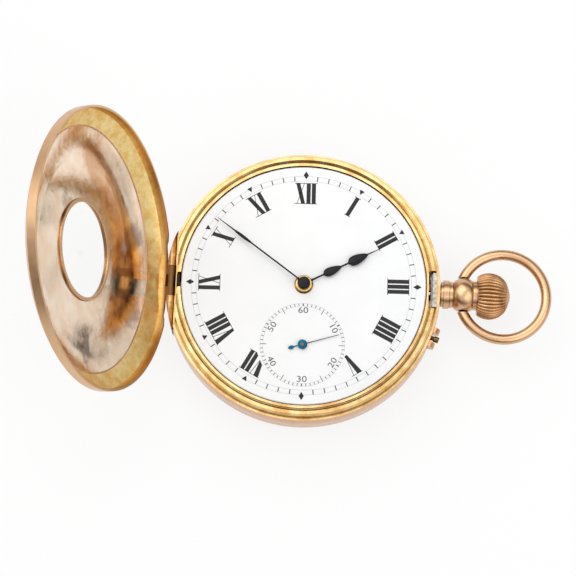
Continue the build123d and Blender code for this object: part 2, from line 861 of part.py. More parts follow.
# Pendant: tail, collar and ring, ball and throat, bored for the sleeve, drilled for the bow
shoulder_x = case_radius + seat_gap
throat_x = ball_end_x - throat_length
pendant = turned_x(
    (pendant_tail_x, 0),
    (pendant_tail_x, pendant_tail_radius),
    (shoulder_x, pendant_tail_radius),
    (shoulder_x, shoulder_radius),
    (collar_start_x, shoulder_radius),
    (collar_start_x, collar_radius),
    (collar_end_x, collar_radius),
    (collar_end_x, neck_radius),
    (collar_ring_x, neck_radius),
    (collar_ring_x, collar_ring_radius),
    (collar_ring_end_x, collar_ring_radius),
    (collar_ring_end_x, neck_radius),
    (neck_end_x, neck_radius),
    (neck_end_x, ball_start_radius),
    ((ball_middle_x, ball_radius), (throat_x, throat_radius)),
    (ball_end_x, throat_radius),
    (ball_end_x, 0),
)
pendant -= rod_x(sleeve_radius + running_fit, pendant_tail_x - overrun, ball_end_x + overrun)
bow_start_y = ball_radius + bow_end_gap
for side in (1, -1):
    ends = sorted((side * (bow_start_y - bow_pin_length - seat_gap), side * (bow_start_y + overrun)))
    pendant -= rod_y(bow_pin_radius + running_fit, bow_pivot_x, pendant_z, ends[0], ends[1])
keep("pendant", pendant)

# Bow: a round ring, open at the pendant, with a pin at each end
bow = Pos(bow_center_x, 0, pendant_z) * Torus(bow_radius, bow_wire_radius)
bow -= block(bow_center_x - bow_radius - bow_wire_radius - overrun, bow_center_x, -bow_start_y, bow_start_y,
             pendant_z - bow_wire_radius - overrun, pendant_z + bow_wire_radius + overrun)
for side in (1, -1):
    ends = sorted((side * (bow_start_y - bow_pin_length), side * (bow_start_y + bow_wire_radius / 2)))
    bow += rod_y(bow_pin_radius, bow_pivot_x, pendant_z, ends[0], ends[1])
keep("bow", bow)

# Crown: a ribbed onion with a cup that slides over the pendant's throat
crown_cup_x = crown_start_x + crown_cup_depth
crown = turned_x(
    (crown_start_x, 0),
    (crown_start_x, crown_base_radius),
    ((crown_wide_x, crown_radius), (crown_top_x, crown_top_radius)),
    ((crown_top_x + cap_middle(crown_top_radius, crown_top), crown_top_radius / 2), (crown_end_x, 0)),
)
groove_face = face_of(
    (crown_start_x - overrun, crown_base_radius - rib_depth),
    (crown_start_x, crown_base_radius - rib_depth),
    ((crown_wide_x, crown_radius - rib_depth), (crown_top_x, crown_top_radius)),
    (crown_top_x, crown_radius + overrun),
    (crown_start_x - overrun, crown_radius + overrun),
)
rib_turn = 360 / crown_ribs
groove = revolve(groove_face, Axis.X, revolution_arc=rib_turn * (1 - rib_share))
for number in range(crown_ribs):
    crown -= Pos(0, 0, pendant_z) * Rot(rib_turn * number, 0, 0) * groove
crown -= rod_x(throat_radius + crown_cup_gap, crown_start_x - overrun, crown_cup_x)
stem_end = crown_end_x - (crown_end_x - crown_cup_x) / 2
crown -= rod_x(stem_radius + running_fit, crown_cup_x - overrun, stem_end)
keep("crown", crown)

# Stem: round in the pendant, square in the clutch, with a pivot at its inner end
stem = rod_x(stem_radius, stem_square_end_x, stem_end - seat_gap)
stem += block(stem_square_start_x, stem_square_end_x, -stem_square / 2, stem_square / 2,
              pendant_z - stem_square / 2, pendant_z + stem_square / 2)
stem += rod_x(stem_pivot_radius, stem_end_x, stem_square_start_x)
keep("stem", stem)
sleeve_start_x = catch_outer_radius + seat_gap
sleeve = rod_x(sleeve_radius, sleeve_start_x, sleeve_end_x) - rod_x(stem_radius + running_fit,
                                                                  sleeve_start_x - overrun,
                                                                  sleeve_end_x + overrun)
keep("stem_sleeve", sleeve)

# The two case springs: a curved strip held by a screw, with a nose that comes up at its free end


def strip_with_hole(radius, width, start, end):
    """A curved strip whose fixed end has a hole for its screw."""
    strip = sector(radius, radius + width, start, end, spring_bottom, spring_top)
    hole = rod_x(spring_screw_radius + spring_screw_room, radius - overrun, radius + width + overrun)
    return strip - Rot(0, 0, end - spring_screw_turn) * hole


def spring_screw(radius, width, end):
    """The screw of a case spring, its head on the inner side."""
    shank = rod_x(spring_screw_radius, radius - seat_gap, radius + width + spring_screw_depth - seat_gap)
    head = rod_x(spring_screw_head_radius, radius - seat_gap - spring_screw_head, radius - seat_gap)
    slot = block(radius - seat_gap - spring_screw_head - overrun, radius - seat_gap - spring_screw_head / 2,
                 -screw_slot / 2, screw_slot / 2, pendant_z - spring_screw_head_radius,
                 pendant_z + spring_screw_head_radius)
    return Rot(0, 0, end - spring_screw_turn) * (shank + head - slot)


catch = strip_with_hole(catch_radius, catch_width, -catch_start_angle, catch_angle)
catch += block(catch_radius + running_fit, catch_outer_radius - running_fit, -catch_half_length,
               catch_half_length, pendant_z, catch_neck_top)
catch += block(catch_nose_inner_x, catch_nose_outer_x, -catch_half_length, catch_half_length,
               catch_neck_top, catch_nose_top)
catch -= rod_x(catch_hole_radius, catch_radius - overrun, catch_nose_outer_x + overrun)
keep("lid_catch_spring", catch)
lifter = strip_with_hole(lifter_radius, lifter_width, 180 - lifter_start_angle, 180 + lifter_angle)
lifter += block(-lifter_outer_radius + running_fit, -lifter_radius + running_fit, -lifter_half_length,
                lifter_half_length, pendant_z, lifter_nose_top)
keep("lid_lift_spring", lifter)
keep("case_spring_screws", spring_screw(catch_radius, catch_width, catch_angle)
     + spring_screw(lifter_radius, lifter_width, 180 + lifter_angle))

# Hand-setting push pin
pin = rod_x(pin_radius, pin_inner_radius, case_radius + pin_reach)
pin += rod_x(pin_head_radius, case_radius + pin_reach - pin_head_length, case_radius + pin_reach)
keep("setting_push_pin", Rot(0, 0, pin_angle) * pin)

# Main plate: the disc that carries the movement, pocketed for the barrel and the keyless work
plate = rod(plate_radius, plate_bottom, plate_top)
barrel_tip = (barrel_distance * barrel_teeth / (barrel_teeth + center_pinion_teeth)) * tip_room_share
plate -= rod(barrel_tip, plate_bottom - overrun, barrel_top + barrel_room, barrel_x, barrel_y)
slot_half = winding_pinion_radius + pocket_gap
pinion_room_end = winding_pinion_end_x + clutch_gap
square_room_x = stem_square_start_x - crown_travel - seat_gap
plate -= block(square_room_x, pinion_room_end, -slot_half, slot_half,
               plate_bottom - overrun, plate_top + overrun)
plate -= rod_x(stem_radius + running_fit, pinion_room_end - overrun, plate_radius + overrun)
plate -= rod_x(stem_pivot_radius + running_fit, stem_end_x - crown_travel - pocket_gap,
               stem_square_start_x + overrun)


def wheel_hole(body, x, y, radius):
    """A clearance hole for an arbor."""
    return body - rod(radius + running_fit, bridge_bottom - overrun, plate_top + overrun, x, y)


def jewel_seat(body, x, y, bottom, top):
    """The seat of a jewel, from one face of a plate."""
    return body - rod(jewel_radius, bottom, top, x, y)


def jewel(x, y, bottom):
    """A pierced jewel."""
    return rod(jewel_radius, bottom, bottom + jewel_thickness, x, y) - rod(
        jewel_hole_radius, bottom - overrun, bottom + jewel_thickness + overrun, x, y)


jeweled = [(third_x, third_y), (seconds_x, seconds_y), (escape_x, escape_y), (pallet_x, pallet_y),
           (balance_x, balance_y)]
for x, y in jeweled:
    plate = wheel_hole(plate, x, y, seconds_arbor_radius)
    plate = jewel_seat(plate, x, y, plate_bottom - overrun, plate_bottom + jewel_thickness)
plate = wheel_hole(plate, 0, 0, center_arbor_radius)
plate -= rod(barrel_arbor_radius + running_fit, plate_bottom, plate_top + overrun, barrel_x, barrel_y)
for x, y, radius in ((minute_x, minute_y, motion_post_radius), (setting_x, setting_y, setting_post_radius),
                     (lever_pivot_x, lever_pivot_y, lever_post_radius)):
    plate += rod(radius, plate_top - seat_gap, motion_middle - seat_gap, x, y)
push_start = pin_inner_radius - pin_travel - lever_tab_depth - pocket_gap
push_half = pin_radius + pocket_gap
push_room = Rot(0, 0, pin_angle) * block(push_start, plate_radius + overrun, -push_half, push_half,
                                         pendant_z - push_half, plate_top + overrun)
plate -= push_room
for turn in (case_screw_angle, case_screw_angle + 180):
    sx, sy = polar(case_screw_distance, turn)
    plate -= rod(screw_radius, plate_bottom - overrun, plate_top + overrun, sx, sy)


def case_screw(turn):
    """A screw whose head reaches over the case ring's ledge."""
    sx, sy = polar(case_screw_distance, turn)
    body = rod(screw_radius - running_fit, plate_bottom, plate_top - seat_gap, sx, sy)
    body += rod(case_screw_head_radius, plate_bottom - screw_head, plate_bottom, sx, sy)
    return body - block(sx - case_screw_head_radius, sx + case_screw_head_radius, sy - screw_slot / 2,
                        sy + screw_slot / 2, plate_bottom - screw_head - overrun,
                        plate_bottom - screw_head / 2)


keep("case_screws", case_screw(case_screw_angle) + case_screw(case_screw_angle + 180))

# Bridges on the back: one for the barrel and center wheel, one for the train, one cock
bridge_radius = plate_radius - bridge_edge
foot_inner = bridge_radius - foot_width
bridge_disc = rod(bridge_radius, bridge_bottom, bridge_top)
balance_room = rod(balance_radius + balance_screw_reach + pocket_gap, bridge_bottom - overrun,
                   bridge_top + overrun, balance_x, balance_y)
foot_dx, foot_dy = polar(cock_foot_distance, cock_angle)
cock_foot_x = balance_x + foot_dx
cock_foot_y = balance_y + foot_dy


def cock_plan(extra, bottom, top):
    """The cock's outline from the balance to its foot, with a margin round it."""
    arm = block(0, cock_foot_distance, -cock_width / 2 - extra, cock_width / 2 + extra, bottom, top)
    shape = Pos(balance_x, balance_y, 0) * Rot(0, 0, cock_angle) * arm
    shape += rod(cock_head_radius + extra, bottom, top, balance_x, balance_y)
    return shape + rod(cock_width / 2 + extra, bottom, top, cock_foot_x, cock_foot_y)


cock_room = cock_plan(pocket_gap, bridge_bottom - overrun, plate_bottom)
upper_half = block(-plate_radius, plate_radius, bridge_split_y + bridge_split / 2, plate_radius,
                   bridge_bottom, plate_bottom)
lower_half = block(balance_x, plate_radius, -plate_radius, bridge_split_y - bridge_split / 2,
                   bridge_bottom, plate_bottom)
barrel_bridge = bridge_disc + sector(foot_inner, bridge_radius, barrel_foot_start, barrel_foot_end,
                                     bridge_top, plate_bottom)
barrel_bridge = (barrel_bridge & upper_half) - balance_room - cock_room
screw_x, screw_y = polar(case_screw_distance, case_screw_angle)
screw_room = rod(case_screw_head_radius + pocket_gap, bridge_bottom - overrun, plate_bottom,
                 screw_x, screw_y) + rod(case_screw_head_radius + pocket_gap, bridge_bottom - overrun,
                                         plate_bottom, -screw_x, -screw_y)
barrel_bridge -= screw_room
barrel_bridge -= rod(crown_drum_radius + running_fit, bridge_bottom - overrun, bridge_top + overrun,
                     crown_wheel_x, 0)
barrel_bridge = wheel_hole(barrel_bridge, barrel_x, barrel_y, barrel_arbor_radius)
barrel_bridge = jewel_seat(barrel_bridge, 0, 0, bridge_bottom - overrun, bridge_bottom + jewel_thickness)
barrel_bridge -= rod(pivot_radius + running_fit, bridge_bottom, bridge_top + overrun, 0, 0)
train_bridge = bridge_disc + sector(foot_inner, bridge_radius, train_foot_start, train_foot_end,
                                    bridge_top, plate_bottom)
train_bridge = (train_bridge & lower_half) - balance_room - cock_room - screw_room
for x, y in jeweled[:3]:
    train_bridge = jewel_seat(train_bridge, x, y, bridge_bottom - overrun,
                              bridge_bottom + jewel_thickness)
    train_bridge -= rod(seconds_arbor_radius, bridge_bottom, bridge_top + overrun, x, y)
click_dx, click_dy = polar(click_distance, click_angle)
click_x = barrel_x + click_dx
click_y = barrel_y + click_dy
barrel_bridge += rod(click_post_radius, winding_bottom, bridge_bottom + seat_gap, click_x, click_y)
bridge_screw_places = []
for turn in barrel_screw_turns:
    bridge_screw_places.append(polar(bridge_radius - foot_width / 2, turn))
train_screw_places = []
for turn in train_screw_turns:
    train_screw_places.append(polar(bridge_radius - foot_width / 2, turn))


def screw_hole(body, x, y, face):
    """A counterbored screw hole, from the back down into the plate."""
    body -= rod(screw_radius, face - overrun, plate_top + overrun, x, y)
    return body - rod(screw_head_radius + running_fit, face - overrun, face + screw_head, x, y)


def plate_screw(x, y, face):
    """A screw with a slotted head, sunk in its counterbore."""
    body = rod(screw_radius - running_fit, face + screw_head, plate_bottom + screw_bite, x, y)
    body += rod(screw_head_radius, face, face + screw_head, x, y)
    return body - block(x - screw_head_radius, x + screw_head_radius, y - screw_slot / 2,
                        y + screw_slot / 2, face - overrun, face + screw_head / 2)


plate_screws = []
for x, y in bridge_screw_places:
    barrel_bridge = screw_hole(barrel_bridge, x, y, bridge_bottom)
    plate -= rod(screw_radius, plate_bottom - overrun, plate_bottom + screw_bite, x, y)
    plate_screws.append(plate_screw(x, y, bridge_bottom))
for x, y in train_screw_places:
    train_bridge = screw_hole(train_bridge, x, y, bridge_bottom)
    plate -= rod(screw_radius, plate_bottom - overrun, plate_bottom + screw_bite, x, y)
    plate_screws.append(plate_screw(x, y, bridge_bottom))
cock = cock_plan(0, cock_top, cock_bottom)
cock += rod(cock_width / 2, cock_bottom, plate_bottom, cock_foot_x, cock_foot_y)
stud_x, stud_y = polar(hairspring_outer_radius + hairspring_thickness / 2 + stud_radius, cock_angle)
cock += rod(stud_radius, cock_bottom, hairspring_top, balance_x + stud_x, balance_y + stud_y)
cock = jewel_seat(cock, balance_x, balance_y, cock_top - overrun, cock_top + jewel_thickness)
cock -= rod(pivot_radius + running_fit, cock_top, cock_bottom + overrun, balance_x, balance_y)
cock = screw_hole(cock, cock_foot_x, cock_foot_y, cock_top)
plate -= rod(screw_radius, plate_bottom - overrun, plate_bottom + screw_bite, cock_foot_x, cock_foot_y)
plate_screws.append(plate_screw(cock_foot_x, cock_foot_y, cock_top))
pallet_foot_dx, pallet_foot_dy = polar(pallet_bridge_reach, pallet_angle + 90)
pallet_foot_x = pallet_x + pallet_foot_dx
pallet_foot_y = pallet_y + pallet_foot_dy
pallet_bar = block(0, pallet_bridge_reach, -pallet_bridge_width / 2, pallet_bridge_width / 2,
                   pallet_bridge_bottom, pallet_bridge_top)
pallet_bridge = Pos(pallet_x, pallet_y, 0) * Rot(0, 0, pallet_angle + 90) * pallet_bar
pallet_bridge += rod(pallet_bridge_width / 2, pallet_bridge_bottom, pallet_bridge_top, pallet_x, pallet_y)
pallet_bridge += rod(pallet_bridge_width / 2, pallet_bridge_bottom, plate_bottom, pallet_foot_x,
                     pallet_foot_y)
pallet_bridge -= rod(pivot_radius + running_fit, pallet_bridge_bottom - overrun,
                     pallet_bridge_top + overrun, pallet_x, pallet_y)
keep("main_plate", plate)
keep("barrel_bridge", barrel_bridge)
keep("train_bridge", train_bridge)
keep("balance_cock", cock)
keep("pallet_bridge", pallet_bridge)
keep("plate_screws", Compound(children=[solid_of(screw) for screw in plate_screws]))
jewels = [jewel(x, y, plate_bottom) for x, y in jeweled]
jewels += [jewel(x, y, bridge_bottom) for x, y in jeweled[:3]]
jewels.append(jewel(0, 0, bridge_bottom))
jewels.append(jewel(balance_x, balance_y, cock_top))
keep("jewels", Compound(children=[solid_of(stone) for stone in jewels]))

# Barrel, its arbor, spring and cover
barrel_pitch = barrel_distance * barrel_teeth / (barrel_teeth + center_pinion_teeth)
center_pinion_pitch = barrel_distance - barrel_pitch
barrel_phase = barrel_angle + 180
barrel_face = gear_face(barrel_teeth, barrel_pitch, barrel_phase)
barrel = plate_of(barrel_face, barrel_tooth_bottom, barrel_tooth_top)
barrel = Pos(barrel_x, barrel_y, 0) * barrel
barrel += rod(barrel_drum_radius, barrel_bottom, barrel_top, barrel_x, barrel_y)
drum_inner = barrel_drum_radius - barrel_wall
barrel -= rod(drum_inner, barrel_bottom + barrel_floor, barrel_top + overrun, barrel_x, barrel_y)
barrel -= rod(barrel_arbor_radius + running_fit, barrel_bottom - overrun, barrel_top, barrel_x, barrel_y)
keep("barrel", barrel)
lid_disc = rod(drum_inner - seat_gap, barrel_top - barrel_floor, barrel_top, barrel_x, barrel_y)
lid_disc -= rod(barrel_arbor_radius + running_fit, barrel_bottom, barrel_top + overrun, barrel_x, barrel_y)
keep("barrel_cover", lid_disc)
spring_start = arbor_core_radius + mainspring_gap + mainspring_thickness / 2
spring_end = drum_inner - mainspring_gap - mainspring_thickness / 2
spring_bottom = barrel_bottom + barrel_floor + mainspring_gap
spring_top = barrel_top - barrel_floor - mainspring_gap
mainspring = spiral(spring_start, spring_end, mainspring_turns, mainspring_thickness,
                    spring_bottom, spring_top)
keep("mainspring", Pos(barrel_x, barrel_y, 0) * mainspring)
core = rod(barrel_arbor_radius, winding_bottom, plate_top - seat_gap)
core += rod(arbor_core_radius, spring_bottom, spring_top)
to_crown = degrees(atan2(-barrel_y, crown_wheel_x - barrel_x))
ratchet = plate_of(gear_face(ratchet_teeth, ratchet_radius, to_crown), winding_bottom, winding_top)
ratchet -= rod(barrel_arbor_radius, winding_bottom - overrun, winding_top + overrun)
keep("barrel_arbor", Pos(barrel_x, barrel_y, 0) * core)
keep("ratchet_wheel", Pos(barrel_x, barrel_y, 0) * ratchet)

# Crown wheel: flat teeth that drive the ratchet, and face teeth that the winding pinion drives
crown_phase = meshed(to_crown, ratchet_teeth, crown_wheel_teeth, to_crown)
crown_wheel = plate_of(gear_face(crown_wheel_teeth, crown_wheel_radius, crown_phase),
                       winding_bottom, winding_top)
crown_wheel += rod(crown_drum_radius, winding_top - seat_gap, crown_drum_top)
crown_wheel -= rod(crown_drum_radius - crown_drum_wall, winding_top + crown_drum_wall,
                   crown_drum_top + overrun)
face_pitch = 360 / crown_face_teeth
face_gap = 2 * (crown_drum_radius - crown_drum_wall / 2) * sin(radians(face_pitch * face_slot_share / 2))
for number in range(crown_face_teeth):
    notch = block(crown_drum_radius - crown_drum_wall - overrun / 2, crown_drum_radius + overrun / 2,
                  -face_gap / 2, face_gap / 2, crown_drum_top - crown_face_depth, crown_drum_top + overrun)
    crown_wheel -= Rot(0, 0, face_pitch * number) * notch
keep("crown_wheel", Pos(crown_wheel_x, 0, 0) * crown_wheel)


def gear_on_stem(face, start, end):
    """A toothed piece on the pendant axis between two places, its phase counted from -Z."""
    piece = extrude(face, amount=end - start, dir=(0, 0, 1))
    return Pos(start, 0, pendant_z) * Rot(0, 90, 0) * piece


square_hole = block(stem_square_start_x - overrun, stem_square_end_x + overrun,
                    -stem_square / 2 - running_fit, stem_square / 2 + running_fit,
                    pendant_z - stem_square / 2 - running_fit, pendant_z + stem_square / 2 + running_fit)
winding_pinion = gear_on_stem(gear_face(winding_pinion_teeth, winding_pinion_radius, 0),
                              winding_pinion_start_x, winding_pinion_end_x)
keep("winding_pinion", winding_pinion - square_hole)
clutch = rod_x(clutch_radius, clutch_start_x, clutch_end_x)
clutch -= rod_x(clutch_radius + overrun, clutch_groove_start_x, clutch_groove_end_x) - rod_x(
    clutch_groove_radius, clutch_groove_start_x - overrun, clutch_groove_end_x + overrun)
tooth_gap = 2 * clutch_radius * sin(radians(180 / clutch_teeth)) * face_slot_share
for number in range(clutch_teeth):
    notch = block(clutch_start_x - overrun, clutch_start_x + clutch_teeth_depth, -tooth_gap / 2,
                  tooth_gap / 2, clutch_groove_radius, clutch_radius + overrun)
    clutch -= Pos(0, 0, pendant_z) * Rot(360 * number / clutch_teeth, 0, 0) * notch
keep("sliding_clutch", clutch - square_hole)

# Click and its spring on the barrel bridge
to_barrel = click_angle + 180
ratchet_tip = ratchet_radius + 2 * ratchet_radius / ratchet_teeth * addendum_share
pawl_length = click_distance - ratchet_tip - click_gap
click = rod(click_hub_radius, winding_bottom, winding_top)
click += Rot(0, 0, to_barrel) * block(0, pawl_length, -click_width / 2, click_width / 2, winding_bottom,
                                      winding_top)
click += Rot(0, 0, to_barrel + 90) * block(0, click_length, -click_width / 2, click_width / 2,
                                           winding_bottom, winding_top)
click -= rod(click_post_radius + running_fit, winding_bottom - overrun, winding_top + overrun)
keep("click", Pos(click_x, click_y, 0) * click)
click_spring = block(0, click_spring_length, -click_spring_width / 2, click_spring_width / 2,
                     winding_bottom, bridge_bottom)
click_spring += rod(click_hub_radius, winding_bottom, bridge_bottom, click_spring_length, 0)
spring_place = Pos(click_x, click_y, 0) * Rot(0, 0, to_barrel + 90)
spring_place = spring_place * Pos(click_length / 2, click_width / 2 + click_spring_gap, 0)
keep("click_spring", spring_place * Rot(0, 0, click_spring_turn) * click_spring)


def arbor(x, y, bottom, top, low_pivot, high_pivot):
    """An arbor with a thin pivot at each end."""
    body = rod(arbor_radius, bottom, top, x, y)
    body += rod(pivot_radius, low_pivot, bottom + seat_gap, x, y)
    return body + rod(pivot_radius, top - seat_gap, high_pivot, x, y)


def train_wheel(teeth, radius, phase, bottom, top, x, y):
    """A spoked train wheel at its place."""
    face = spoked(gear_face(teeth, radius, phase), radius - wheel_rim, wheel_spokes)
    return Pos(x, y, 0) * plate_of(face, bottom, top)


def pinion(teeth, radius, phase, bottom, top, x, y):
    """A pinion at its place."""
    return Pos(x, y, 0) * plate_of(gear_face(teeth, radius, phase), bottom, top)


low_pivot = bridge_bottom + seat_gap
high_pivot = plate_bottom + jewel_thickness
arbor_bottom = bridge_top + seat_gap
arbor_top = plate_bottom - seat_gap

# Center wheel on the hollow-topped arbor that drives the hands
center_pinion_phase = meshed(barrel_phase, barrel_teeth, center_pinion_teeth, barrel_angle + 180)
center_pitch = center_module * center_wheel_teeth / 2
third_pinion_pitch = center_module * third_pinion_teeth / 2
center = train_wheel(center_wheel_teeth, center_pitch, third_direction, center_wheel_bottom,
                     center_wheel_top, 0, 0)
center += pinion(center_pinion_teeth, center_pinion_pitch, center_pinion_phase, center_wheel_top,
                 arbor_top, 0, 0)
center += rod(center_arbor_radius, arbor_bottom, cannon_top - center_arbor_inset)
center += rod(pivot_radius, low_pivot, arbor_bottom + seat_gap)
keep("center_wheel", center)

# Third wheel
third_pinion_phase = meshed(third_direction, center_wheel_teeth, third_pinion_teeth, third_direction)
third_pitch = third_module * third_wheel_teeth / 2
fourth_pinion_pitch = third_module * fourth_pinion_teeth / 2
to_fourth = degrees(atan2(seconds_y - third_y, seconds_x - third_x))
third = train_wheel(third_wheel_teeth, third_pitch, to_fourth, third_wheel_bottom, third_wheel_top,
                    third_x, third_y)
third += pinion(third_pinion_teeth, third_pinion_pitch, third_pinion_phase, third_pinion_bottom,
                third_pinion_top, third_x, third_y)
third += arbor(third_x, third_y, arbor_bottom, arbor_top, low_pivot, high_pivot)
keep("third_wheel", third)

# Fourth wheel, whose long arbor carries the seconds hand
fourth_pinion_phase = meshed(to_fourth, third_wheel_teeth, fourth_pinion_teeth, to_fourth)
fourth_pitch = fourth_module * fourth_wheel_teeth / 2
escape_pinion_pitch = fourth_module * escape_pinion_teeth / 2
fourth = train_wheel(fourth_wheel_teeth, fourth_pitch, escape_angle, fourth_wheel_bottom,
                     fourth_wheel_top, seconds_x, seconds_y)
fourth += pinion(fourth_pinion_teeth, fourth_pinion_pitch, fourth_pinion_phase, fourth_pinion_bottom,
                 fourth_pinion_top, seconds_x, seconds_y)
fourth += arbor(seconds_x, seconds_y, arbor_bottom, arbor_top, low_pivot,
                seconds_hand_z + seconds_boss_height - seat_gap)
keep("fourth_wheel", fourth)

# Escape wheel with pointed, leaning teeth
escape_pinion_phase = meshed(escape_angle, fourth_wheel_teeth, escape_pinion_teeth, escape_angle)
escape_points = []
escape_pitch = 360 / escape_teeth
for number in range(escape_teeth):
    turn = escape_pitch * number + pallet_angle + escape_pitch / 2
    escape_points.append(polar(escape_root_radius, turn - escape_pitch * escape_back_share))
    escape_points.append(polar(escape_radius, turn))
    escape_points.append(polar(escape_radius * escape_face_share, turn + escape_pitch * escape_tip_share))
    escape_points.append(polar(escape_root_radius, turn + escape_pitch * escape_tip_share))
escape_face = make_face(Polyline(*escape_points, close=True))
escape_hub = wheel_hub_radius * escape_hub_share
window = Circle(escape_root_radius - wheel_rim / 2) - Circle(escape_hub)
for number in range(wheel_spokes):
    window -= Rot(0, 0, 360 * number / wheel_spokes) * Pos(escape_root_radius / 2, 0) * Rectangle(
        escape_root_radius, wheel_spoke / 2)
escape = Pos(escape_x, escape_y, 0) * plate_of(escape_face - window, escape_wheel_bottom, escape_wheel_top)
escape += pinion(escape_pinion_teeth, escape_pinion_pitch, escape_pinion_phase, escape_pinion_bottom,
                 escape_pinion_top, escape_x, escape_y)
escape += arbor(escape_x, escape_y, arbor_bottom, arbor_top, low_pivot, high_pivot)
keep("escape_wheel", escape)

# Pallet fork: two arms that straddle the escape wheel, a bar, and a slotted end
clear_circle = escape_radius + pallet_gap
anchor = Circle(pallet_arm)
for side in (1, -1):
    arm_x = pallet_distance - clear_circle * cos(radians(pallet_half_span))
    arm_y = side * clear_circle * sin(radians(pallet_half_span))
    arm_turn = degrees(atan2(arm_y, arm_x))
    arm_length = hypot(arm_x, arm_y)
    anchor += Rot(0, 0, arm_turn) * Pos(arm_length / 2, 0) * Rectangle(arm_length, pallet_arm)
    anchor += Pos(arm_x, arm_y) * Rectangle(pallet_stone_width * 2, pallet_stone_width)
anchor -= Pos(pallet_distance, 0) * Circle(clear_circle)
anchor += Pos(-fork_reach / 2, 0) * Rectangle(fork_reach, fork_bar)
anchor += Pos(-fork_reach + fork_head / 2, 0) * Rectangle(fork_head, fork_slot + fork_horn * 2)
anchor -= Pos(-fork_reach, 0) * Rectangle(fork_head, fork_slot)
fork = Pos(pallet_x, pallet_y, 0) * Rot(0, 0, pallet_angle + 180) * plate_of(
    anchor, escape_wheel_bottom, escape_wheel_top)
fork += arbor(pallet_x, pallet_y, pallet_bridge_top + seat_gap, arbor_top, pallet_bridge_bottom, high_pivot)
keep("pallet_fork", fork)

# Balance with its screws, staff, roller and impulse pin
rim = rod(balance_radius, balance_rim_bottom, balance_rim_top)
rim -= rod(balance_radius - balance_rim, balance_rim_bottom - overrun, balance_rim_top + overrun)
inner_rim = balance_radius - balance_rim / 2
rim += block(-inner_rim, inner_rim, -balance_arm / 2, balance_arm / 2, balance_arm_bottom, balance_arm_top)
rim += rod(balance_hub_radius, balance_arm_bottom, balance_rim_top)
rim_middle = (balance_rim_bottom + balance_rim_top) / 2
for number in range(balance_screws):
    stud = Pos(balance_radius, 0, rim_middle) * Rot(0, 90, 0) * Cylinder(
        balance_screw_radius, 2 * balance_screw_reach)
    rim += Rot(0, 0, 360 * (number + 1 / 2) / balance_screws) * stud
keep("balance_wheel", Pos(balance_x, balance_y, 0) * Rot(0, 0, balance_rest_angle)
     * (rim - rod(staff_radius, balance_arm_bottom - overrun, balance_rim_top + overrun)))
staff = rod(staff_radius, cock_bottom + seat_gap, arbor_top)
staff += rod(pivot_radius, cock_top + seat_gap, arbor_bottom)
staff += rod(pivot_radius, arbor_top - seat_gap, high_pivot)
staff += rod(collet_radius, hairspring_bottom, hairspring_top)
staff += rod(roller_radius, roller_bottom, roller_top)
staff += rod(impulse_pin_radius, roller_bottom, impulse_pin_top, impulse_pin_place, 0)
keep("balance_staff", Pos(balance_x, balance_y, 0) * Rot(0, 0, balance_rest_angle) * staff)
hairspring = spiral(hairspring_inner_radius, hairspring_outer_radius, hairspring_turns,
                    hairspring_thickness, hairspring_bottom, hairspring_top, cock_angle)
keep("hairspring", Pos(balance_x, balance_y, 0) * hairspring)
hairspring_pitch = (hairspring_outer_radius - hairspring_inner_radius) / hairspring_turns
print("least gap of the hairspring to itself", round(hairspring_pitch - hairspring_thickness, 3))

# Regulator lever on the cock
regulator = rod(regulator_ring_radius, cock_top - regulator_thickness - running_fit, cock_top - running_fit)
regulator += block(0, regulator_length, -regulator_width / 2, regulator_width / 2,
                   cock_top - regulator_thickness - running_fit, cock_top - running_fit)
regulator -= rod(cock_cap_radius, cock_top - overrun, cock_top + overrun)
keep("regulator", Pos(balance_x, balance_y, 0) * Rot(0, 0, cock_angle + regulator_turn) * regulator)

# Motion work between the plate and the dial
to_minute = motion_angle
cannon = plate_of(gear_face(cannon_teeth, cannon_pitch, to_minute), motion_bottom, motion_middle)
cannon += rod(cannon_radius, motion_bottom, cannon_top)
cannon -= rod(center_arbor_radius + running_fit, motion_bottom - overrun, cannon_top + overrun)
keep("cannon_pinion", cannon)
minute_phase = meshed(to_minute, cannon_teeth, minute_wheel_teeth, to_minute)
minute_pinion_phase = to_minute + 180
minute_face = gear_face(minute_wheel_teeth, minute_pitch, minute_phase)
minute_wheel = plate_of(minute_face, motion_bottom, motion_middle)
minute_wheel += plate_of(gear_face(minute_pinion_teeth, minute_pinion_pitch, minute_pinion_phase),
                         motion_middle - seat_gap, hour_wheel_top)
minute_wheel -= rod(motion_post_radius + running_fit, motion_bottom - overrun, hour_wheel_top + overrun)
keep("minute_wheel", Pos(minute_x, minute_y, 0) * minute_wheel)
hour_phase = meshed(minute_pinion_phase, minute_pinion_teeth, hour_wheel_teeth, to_minute + 180)
hour_face = gear_face(hour_wheel_teeth, hour_pitch, hour_phase)
hour_wheel = plate_of(hour_face, hour_wheel_bottom, hour_wheel_top)
hour_wheel += rod(hour_tube_radius, hour_wheel_bottom, hour_tube_top)
hour_wheel -= rod(cannon_radius + running_fit, hour_wheel_bottom - overrun, hour_tube_top + overrun)
keep("hour_wheel", hour_wheel)
setting_phase = meshed(minute_phase, minute_wheel_teeth, setting_teeth, setting_angle)
setting_face = gear_face(setting_teeth, setting_pitch, setting_phase)
setting_wheel = plate_of(setting_face, motion_bottom, motion_middle)
setting_wheel -= rod(setting_post_radius + running_fit, motion_bottom - overrun, motion_middle + overrun)
keep("setting_wheel", Pos(setting_x, setting_y, 0) * setting_wheel)

